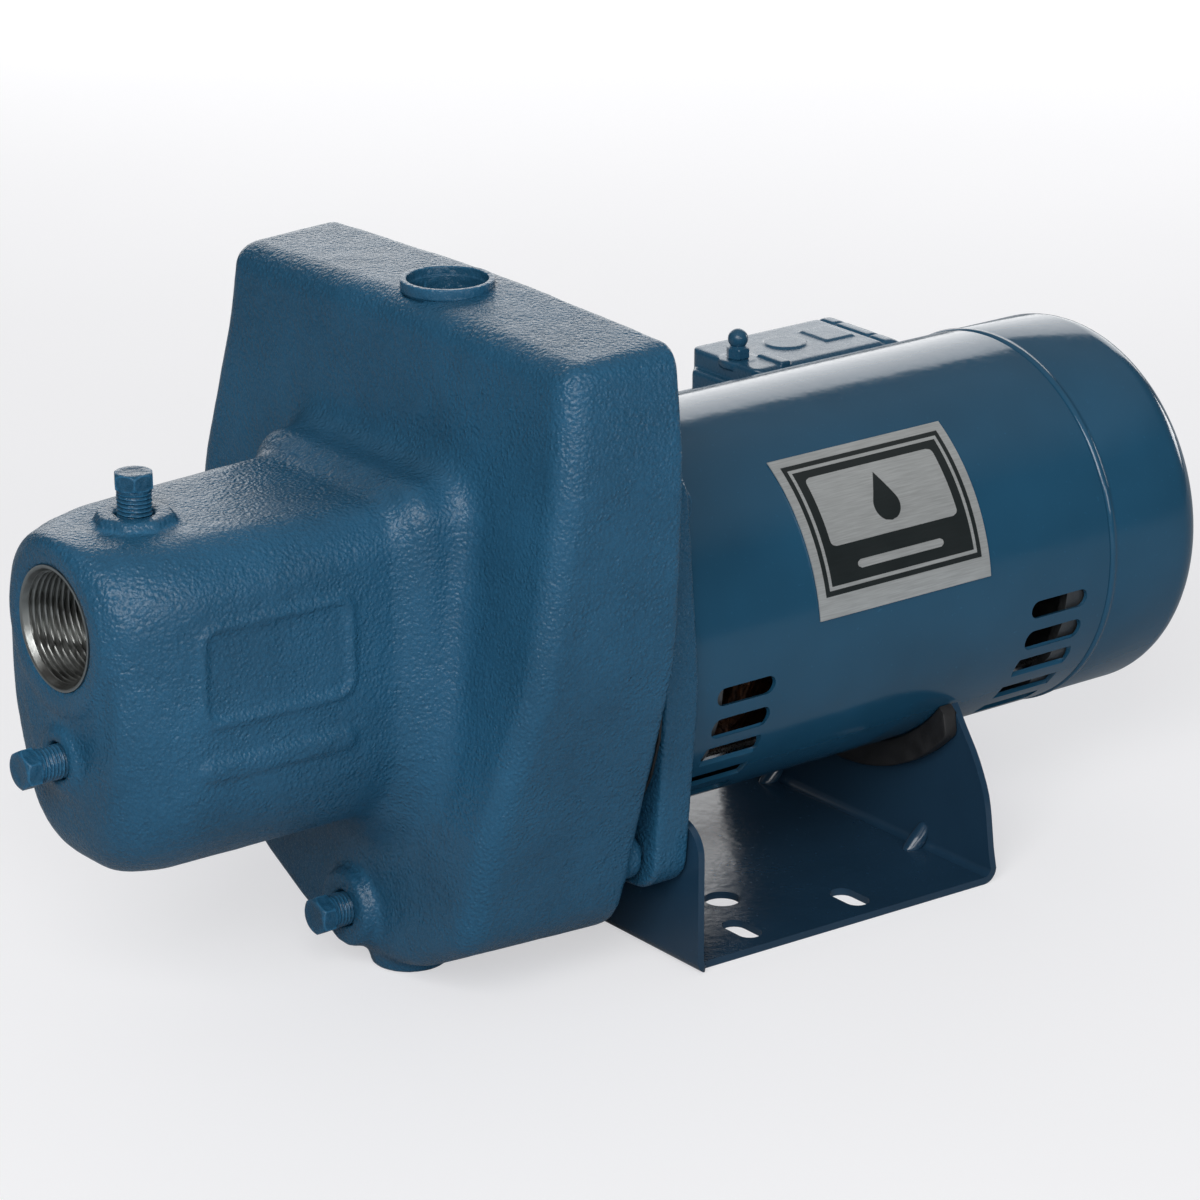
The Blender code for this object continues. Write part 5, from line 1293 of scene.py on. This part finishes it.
def switch_cover():
    """A moulded cover: chamfered long edges, a low front shoulder, two plain pads and a stepped end."""
    low, high = (Vector(c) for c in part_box("switch_cover"))
    x0, x1, y0, y1, z0, z1 = low.x, high.x, low.y, high.y, low.z, high.z
    sx, sy = middle("cover_nut").x, middle("cover_nut").y
    mid_y = (y0 + y1) / 2
    f = Field((x0 - 0.002, y0 - 0.002, z0 - 0.002), (x1 + 0.002, y1 + 0.002, z1 + 0.004), 0.0005)
    body = f.box((x0, y0, z0 - 0.01), (x1, y1, z1), 0.0022)
    chamfer = (np.abs(f.y - mid_y) - (y1 - y0) / 2 + f.z - z1 + 0.0062) / math.sqrt(2)
    body = overlap(body, chamfer, 0.0010)
    rim_z = z0 + 0.0032
    plan = (x0 - f.x + np.abs(f.y - mid_y) - (y1 - y0) / 2 + 0.0120) / math.sqrt(2)
    body = overlap(body, np.minimum(plan, f.z - rim_z), 0.0008)
    shoulder = overlap(f.x - (x0 + 0.0036), z1 - 0.0070 - f.z, 0.0)
    body = without(body, shoulder, 0.0020)
    body = overlap(body, (f.z - z1 - (x1 - f.x) * 0.9 + 0.0065) / 1.35, 0.0015)

    round_pad = f.rod("z", (0.1160, mid_y + 0.0010), 0.0085, z1 - 0.001, z1 + 0.0009, 0.0004)
    body = union(body, round_pad, 0.0004)
    pad_low, pad_high = (0.1300, mid_y - 0.0075, z1 - 0.001), (0.1445, mid_y + 0.0095, z1 + 0.0008)
    body = union(body, f.box(pad_low, pad_high, 0.0004), 0.0004)
    stud_pad = f.box((0.0960, y0 + 0.0050, z1 - 0.001), (0.1010, mid_y - 0.006, z1 + 0.0012), 0.0004)
    body = union(body, stud_pad, 0.0004)
    body = union(body, f.rod("z", (sx, sy), 0.0072, z1 - 0.003, z1 + 0.0002, 0.0003), 0.0006)
    body = without(body, f.box((0.1480, y0 - 0.01, z1 - 0.0012), (0.1496, y1 + 0.01, z1 + 0.01)), 0.0004)
    for y in (mid_y - 0.0095, mid_y + 0.0110):
        notch = f.box((0.1490, y - 0.0006, z1 - 0.0010), (x1 + 0.01, y + 0.0006, z1 + 0.01))
        body = without(body, notch, 0.0004)
    body = np.maximum(body, z0 - f.z)
    wall = SWITCH_WALL
    hollow = f.box((x0 + wall, y0 + wall, z0 - 0.02), (x1 - wall, y1 - wall, z1 - 0.0085), 0.001)
    hollow = np.maximum(hollow, np.minimum(plan + wall, f.z - rim_z + wall))
    body = without(body, hollow)
    body = without(body, f.rod("z", (sx, sy), 0.0025, z0, z1 + 0.01))
    mesh = f.mesh("switch_cover_shell", body)
    piece("switch_cover_shell", mesh, "switch_paint", "switch_cover", ["switch_cover"])


def switch_base():
    low, high = (Vector(c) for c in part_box("switch_base"))
    cover_low = span("switch_cover", "z")[0]
    sx, sy = middle("cover_nut").x, middle("cover_nut").y
    wall = SWITCH_WALL
    seam = cover_low - 0.0003
    x0, x1, y0, y1, z0 = low.x, high.x, low.y, high.y, low.z
    f = Field((x0 - 0.002, y0 - 0.002, z0 - 0.002), (x1 + 0.002, y1 + 0.002, high.z + 0.002), 0.0006)
    body = np.maximum(f.box((x0, y0, z0), (x1, y1, seam + 0.01), 0.0025), f.z - seam)
    inside = f.box((x0 + wall, y0 + wall, z0 + wall), (x1 - wall, y1 - wall, seam + 0.02), 0.0015)
    body = without(body, inside)
    for side in (-1, 1):
        y = (y0 + y1) / 2 + side * 0.013
        recess = f.box((x0 - 0.01, y - 0.008, z0 + 0.008), (x0 + 0.0006, y + 0.008, seam - 0.006), 0.0004)
        body = without(body, recess)
    body = union(body, f.rod("z", (sx, sy), 0.0020, z0 + 0.0010, high.z, 0.0003), 0.0004)
    x, y = middle("switch_inlet").x, middle("switch_inlet").y
    body = without(body, f.rod("z", (x, y), 0.0045, 0.080, 0.095))
    cx, cz = CONDUIT
    body = without(body, f.rod("y", (cx, cz), CONDUIT_R + 0.0003, 0.060, 0.085))
    piece("switch_tray", f.mesh("switch_tray", body), "switch_paint", replaces=["switch_base"])


def cover_nut():
    """An acorn nut: a hexagon, a short neck and a ball."""
    low, high = span("cover_nut", "z")
    across, bore_r, ball_r = 0.0047, 0.0024, 0.0039
    flat = across * math.cos(math.pi / 6)
    hex_top = high - 1.80 * ball_r
    profile = [(low, bore_r), (low, flat * 0.95), (low + 0.0004, across)]
    profile += [(low + 0.0004 + (hex_top - low - 0.0012) * (i + 1) / 5, across) for i in range(5)]
    profile += [(hex_top - 0.0003, flat * 1.04), (hex_top, flat * 0.86)]
    ball_steps = 16
    for i in range(ball_steps + 1):
        a = math.radians(-42 + 132 * i / ball_steps)
        profile.append((high - ball_r + ball_r * math.sin(a), max(ball_r * math.cos(a), 0.0)))
    profile[-1] = (high, 0.0)
    bore_end = hex_top - 0.0005
    bore = [(bore_end, 0.0), (bore_end, bore_r)]

    def reach(angle, t, radius):
        local = angle % (math.pi / 3) - math.pi / 6
        return min(radius, flat / math.cos(local)) if t < hex_top and radius > bore_r + 0.0006 else radius

    centre = (middle("cover_nut").x, middle("cover_nut").y, 0)
    mesh = turned("acorn_nut", (bore + profile)[::-1], centre, "Z", 72, reach=reach, angle=28)
    piece("acorn_nut", mesh, "switch_paint", "cover_nut", ["cover_nut"])


def pressure_line():
    """Fitting, copper tube, switch inlet and conduit nipple on the far side."""
    y, z = middle("tube_fitting").y, middle("tube_fitting").z
    low, high = span("tube_fitting", "x")
    hexagon = hex_head("fitting_hex", high - 0.0116, 0.0070, 0.0075, (0, y, z), "X")
    nut_back = high - 0.0048
    nut = [(nut_back, 0.0), (nut_back, 0.0062), (high - 0.0008, 0.0058), (high, 0.0046), (high, 0.0)]
    ferrule = turned("fitting_nut", nut, (0, y, z), "X", 48, ease=0.0004)
    shank = [(high - 0.0110, 0), (high - 0.0110, 0.0046), (low, 0.0044), (low, 0)]
    thread = turned("fitting_thread", shank, (0, y, z), "X", 48)
    piece("tube_fitting_detail", joined("tube_fitting_detail", hexagon, ferrule, thread), "brass",
          replaces=["tube_fitting"])
    x_in, y_in = middle("switch_inlet").x, middle("switch_inlet").y
    low_z, top_z = 0.0500, 0.0820
    corners = [
        (-0.0880, y, z),
        (0.0120, y, z),
        (0.0400, y_in, low_z),
        (x_in, y_in, low_z),
        (x_in, y_in, top_z),
    ]
    path = [corners[0]]
    for before, corner, after in zip(corners, corners[1:], corners[2:]):
        path += fillet(before, corner, after, 0.0120, 14)
    path.append(corners[-1])
    mesh = tube("pressure_tube_bent", path, 0.0032, 20)
    piece("pressure_tube_bent", mesh, "copper", replaces=["pressure_tube"])
    inlet = turned("switch_inlet_detail", [
        (0.0877, 0.0195), (0.0800, 0.0195), (0.0785, 0.0150), (0.0760, 0.0090), (0.0650, 0.0090),
        (0.0650, 0.0035), (0.0840, 0.0035), (0.0840, 0.0150), (0.0877, 0.0150),
    ], (x_in, y_in, 0), "Z", 72, ease=0.0010)
    piece("switch_inlet_detail", inlet, "dark_steel", replaces=["switch_inlet"])
    cx, cz = CONDUIT
    ribs = [(0.0800 - 0.0017 * i, CONDUIT_R - 0.0005 * (i % 2)) for i in range(11)]
    profile = ribs + [(0.0630, 0.0088), (0.0800, 0.0088)]
    nipple = turned("conduit_nipple_detail", profile, (cx, 0, cz), "Y", 72, angle=50)
    piece("conduit_nipple_detail", nipple, "bright_steel", replaces=["conduit_nipple"])


seal_plate()
plate_screws()
motor_tube()
motor_cap()
cap_screws()
label()
base_bracket()
base_gussets()
motor_pad()
switch_cover()
switch_base()
cover_nut()
pressure_line()


# ---------------------------------------------------------------- carried-over CAD nodes
KEPT = {
    "bright_steel": ["motor_shaft", "front_bearing", "rear_bearing", "seal_spring", "range_spring",
                     "differential_spring", "conduit_nipple"]
    + ["through_bolt_" + corner for corner in CORNERS],
    "dark_steel": ["rotary_seal", "governor", "switch_inlet", "cap_screw_upper", "cap_screw_lower"]
    + ["plate_screw_" + corner for corner in CORNERS],
    "laminations": ["stator_core", "rotor_core"],
    "cast_aluminium": ["motor_front_endbell", "motor_rear_endbell"],
    "brass": ["nozzle", "start_switch_arm", "contact_lever", "tube_fitting"],
    "copper": ["pressure_tube"],
    "copper_windings": ["front_winding", "rear_winding"],
    "black_rubber": ["body_gasket", "venturi_o_ring", "water_slinger", "motor_pad"],
    "black_plastic": ["diffuser", "venturi", "governor_collar", "terminal_board", "capacitor",
                      "diaphragm_plunger"],
    "ivory_plastic": ["impeller", "seal_seat"],
    "cast_paint": ["seal_plate", "pump_body", "priming_plug", "cleanout_plug", "drain_plug"],
    "sheet_paint": ["motor_shell", "motor_end_cap"],
    "base_paint": ["base"],
    "switch_paint": ["switch_base", "switch_cover", "cover_nut"],
    "label_foil": ["name_label"],
}
KEPT_BEVEL = 0.00025


def finish_kept_nodes():
    """Gives each CAD node its material, and small bevelled edges to the nodes that still show."""
    for finish, nodes in KEPT.items():
        for name in nodes:
            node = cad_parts[name]
            node.data.materials.clear()
            node.data.materials.append(FINISHES[finish])
            if node.hide_render:
                continue
            weld = node.modifiers.new("weld", "WELD")
            weld.merge_threshold = 1e-6
            round_edges(node, KEPT_BEVEL, 2, 40)


finish_kept_nodes()


# ---------------------------------------------------------------- floor, light and camera
CAMERA_PLACE = (-1.0264, -1.2686, 0.6866)
CAMERA_ANGLES = (-37.47, 19.725)  # azimuth from straight in front, and height, in degrees
CAMERA_LENS = 142.9
CAMERA_SHIFT = (0.0042, 0.0007)


def lay_floor():
    floor = bpy.data.objects.new("floor", bpy.data.meshes.new("floor"))
    bpy.context.scene.collection.objects.link(floor)
    bm = bmesh.new()
    bmesh.ops.create_grid(bm, x_segments=1, y_segments=1, size=6.0)
    bm.to_mesh(floor.data)
    bm.free()
    floor.location.z = -0.0002
    ground = Finish("floor_paper")
    paper = ground.mix(ground.spread(ground.noise(0.4), 0.3, 0.7), (0.44, 0.44, 0.445), (0.46, 0.46, 0.465))
    seen = ground.node("ShaderNodeLightPath", "Is Camera Ray")
    tone = ground.mix(seen, (0.42, 0.45, 0.48), paper)
    glow = ground.mix(seen, (0.0, 0.0, 0.0), (0.88, 0.88, 0.90))
    floor.data.materials.append(ground.set(Base_Color=tone, Roughness=0.9, Specular_IOR_Level=0.0,
                                           Emission_Color=glow, Emission_Strength=0.62))


def surround():
    """Plain pale paper to the camera, and a dim room that is lighter overhead to everything else."""
    world = bpy.data.worlds.new("studio")
    bpy.context.scene.world = world
    world.use_nodes = True
    tree = world.node_tree
    sky = tree.nodes["Background"]
    split = tree.nodes.new("ShaderNodeSeparateXYZ")
    tree.links.new(tree.nodes.new("ShaderNodeTexCoord").outputs["Generated"], split.inputs[0])
    height = tree.nodes.new("ShaderNodeMapRange")
    tree.links.new(split.outputs[2], height.inputs["Value"])
    for key, value in (("From Min", 0.50), ("From Max", 0.72), ("To Min", 0.07), ("To Max", 0.30)):
        height.inputs[key].default_value = value
    choose = tree.nodes.new("ShaderNodeMix")
    choose.data_type = "RGBA"
    tree.links.new(tree.nodes.new("ShaderNodeLightPath").outputs["Is Camera Ray"], choose.inputs[0])
    tree.links.new(height.outputs[0], choose.inputs[6])
    choose.inputs[7].default_value = (0.87, 0.87, 0.885, 1.0)
    tree.links.new(choose.outputs[2], sky.inputs["Color"])


def softbox(name, place, target, size, power):
    light = bpy.data.lights.new(name, "AREA")
    light.shape = "RECTANGLE"
    light.size, light.size_y = size
    light.energy = power
    obj = bpy.data.objects.new(name, light)
    bpy.context.scene.collection.objects.link(obj)
    obj.location = place
    obj.visible_camera = False
    obj.rotation_mode = "QUATERNION"
    obj.rotation_quaternion = (Vector(target) - Vector(place)).to_track_quat("-Z", "Y")


def set_camera():
    camera = bpy.data.objects.new("camera", bpy.data.cameras.new("camera"))
    bpy.context.scene.collection.objects.link(camera)
    azimuth, elevation = (math.radians(a) for a in CAMERA_ANGLES)
    back = Vector((math.sin(azimuth) * math.cos(elevation), -math.cos(azimuth) * math.cos(elevation),
                   math.sin(elevation)))
    camera.location = CAMERA_PLACE
    camera.rotation_mode = "QUATERNION"
    camera.rotation_quaternion = (-back).to_track_quat("-Z", "Y")
    camera.data.sensor_width = 36.0
    camera.data.lens = CAMERA_LENS
    camera.data.shift_x, camera.data.shift_y = CAMERA_SHIFT
    bpy.context.scene.camera = camera
    bpy.context.scene.view_settings.view_transform = "Standard"


lay_floor()
surround()
softbox("back", (1.00, 1.32, 0.64), (0.0, 0.0, 0.15), (2.0, 1.04), 13.5)
softbox("key", (-1.30, -1.10, 1.15), (-0.05, 0.0, 0.12), (1.2, 1.0), 25.0)
softbox("front", (-0.30, -2.00, 0.70), (0.0, 0.0, 0.12), (1.4, 0.5), 9.0)
softbox("end", (1.60, 0.12, 0.26), (0.2, 0.0, 0.12), (0.5, 0.25), 2.0)
set_camera()
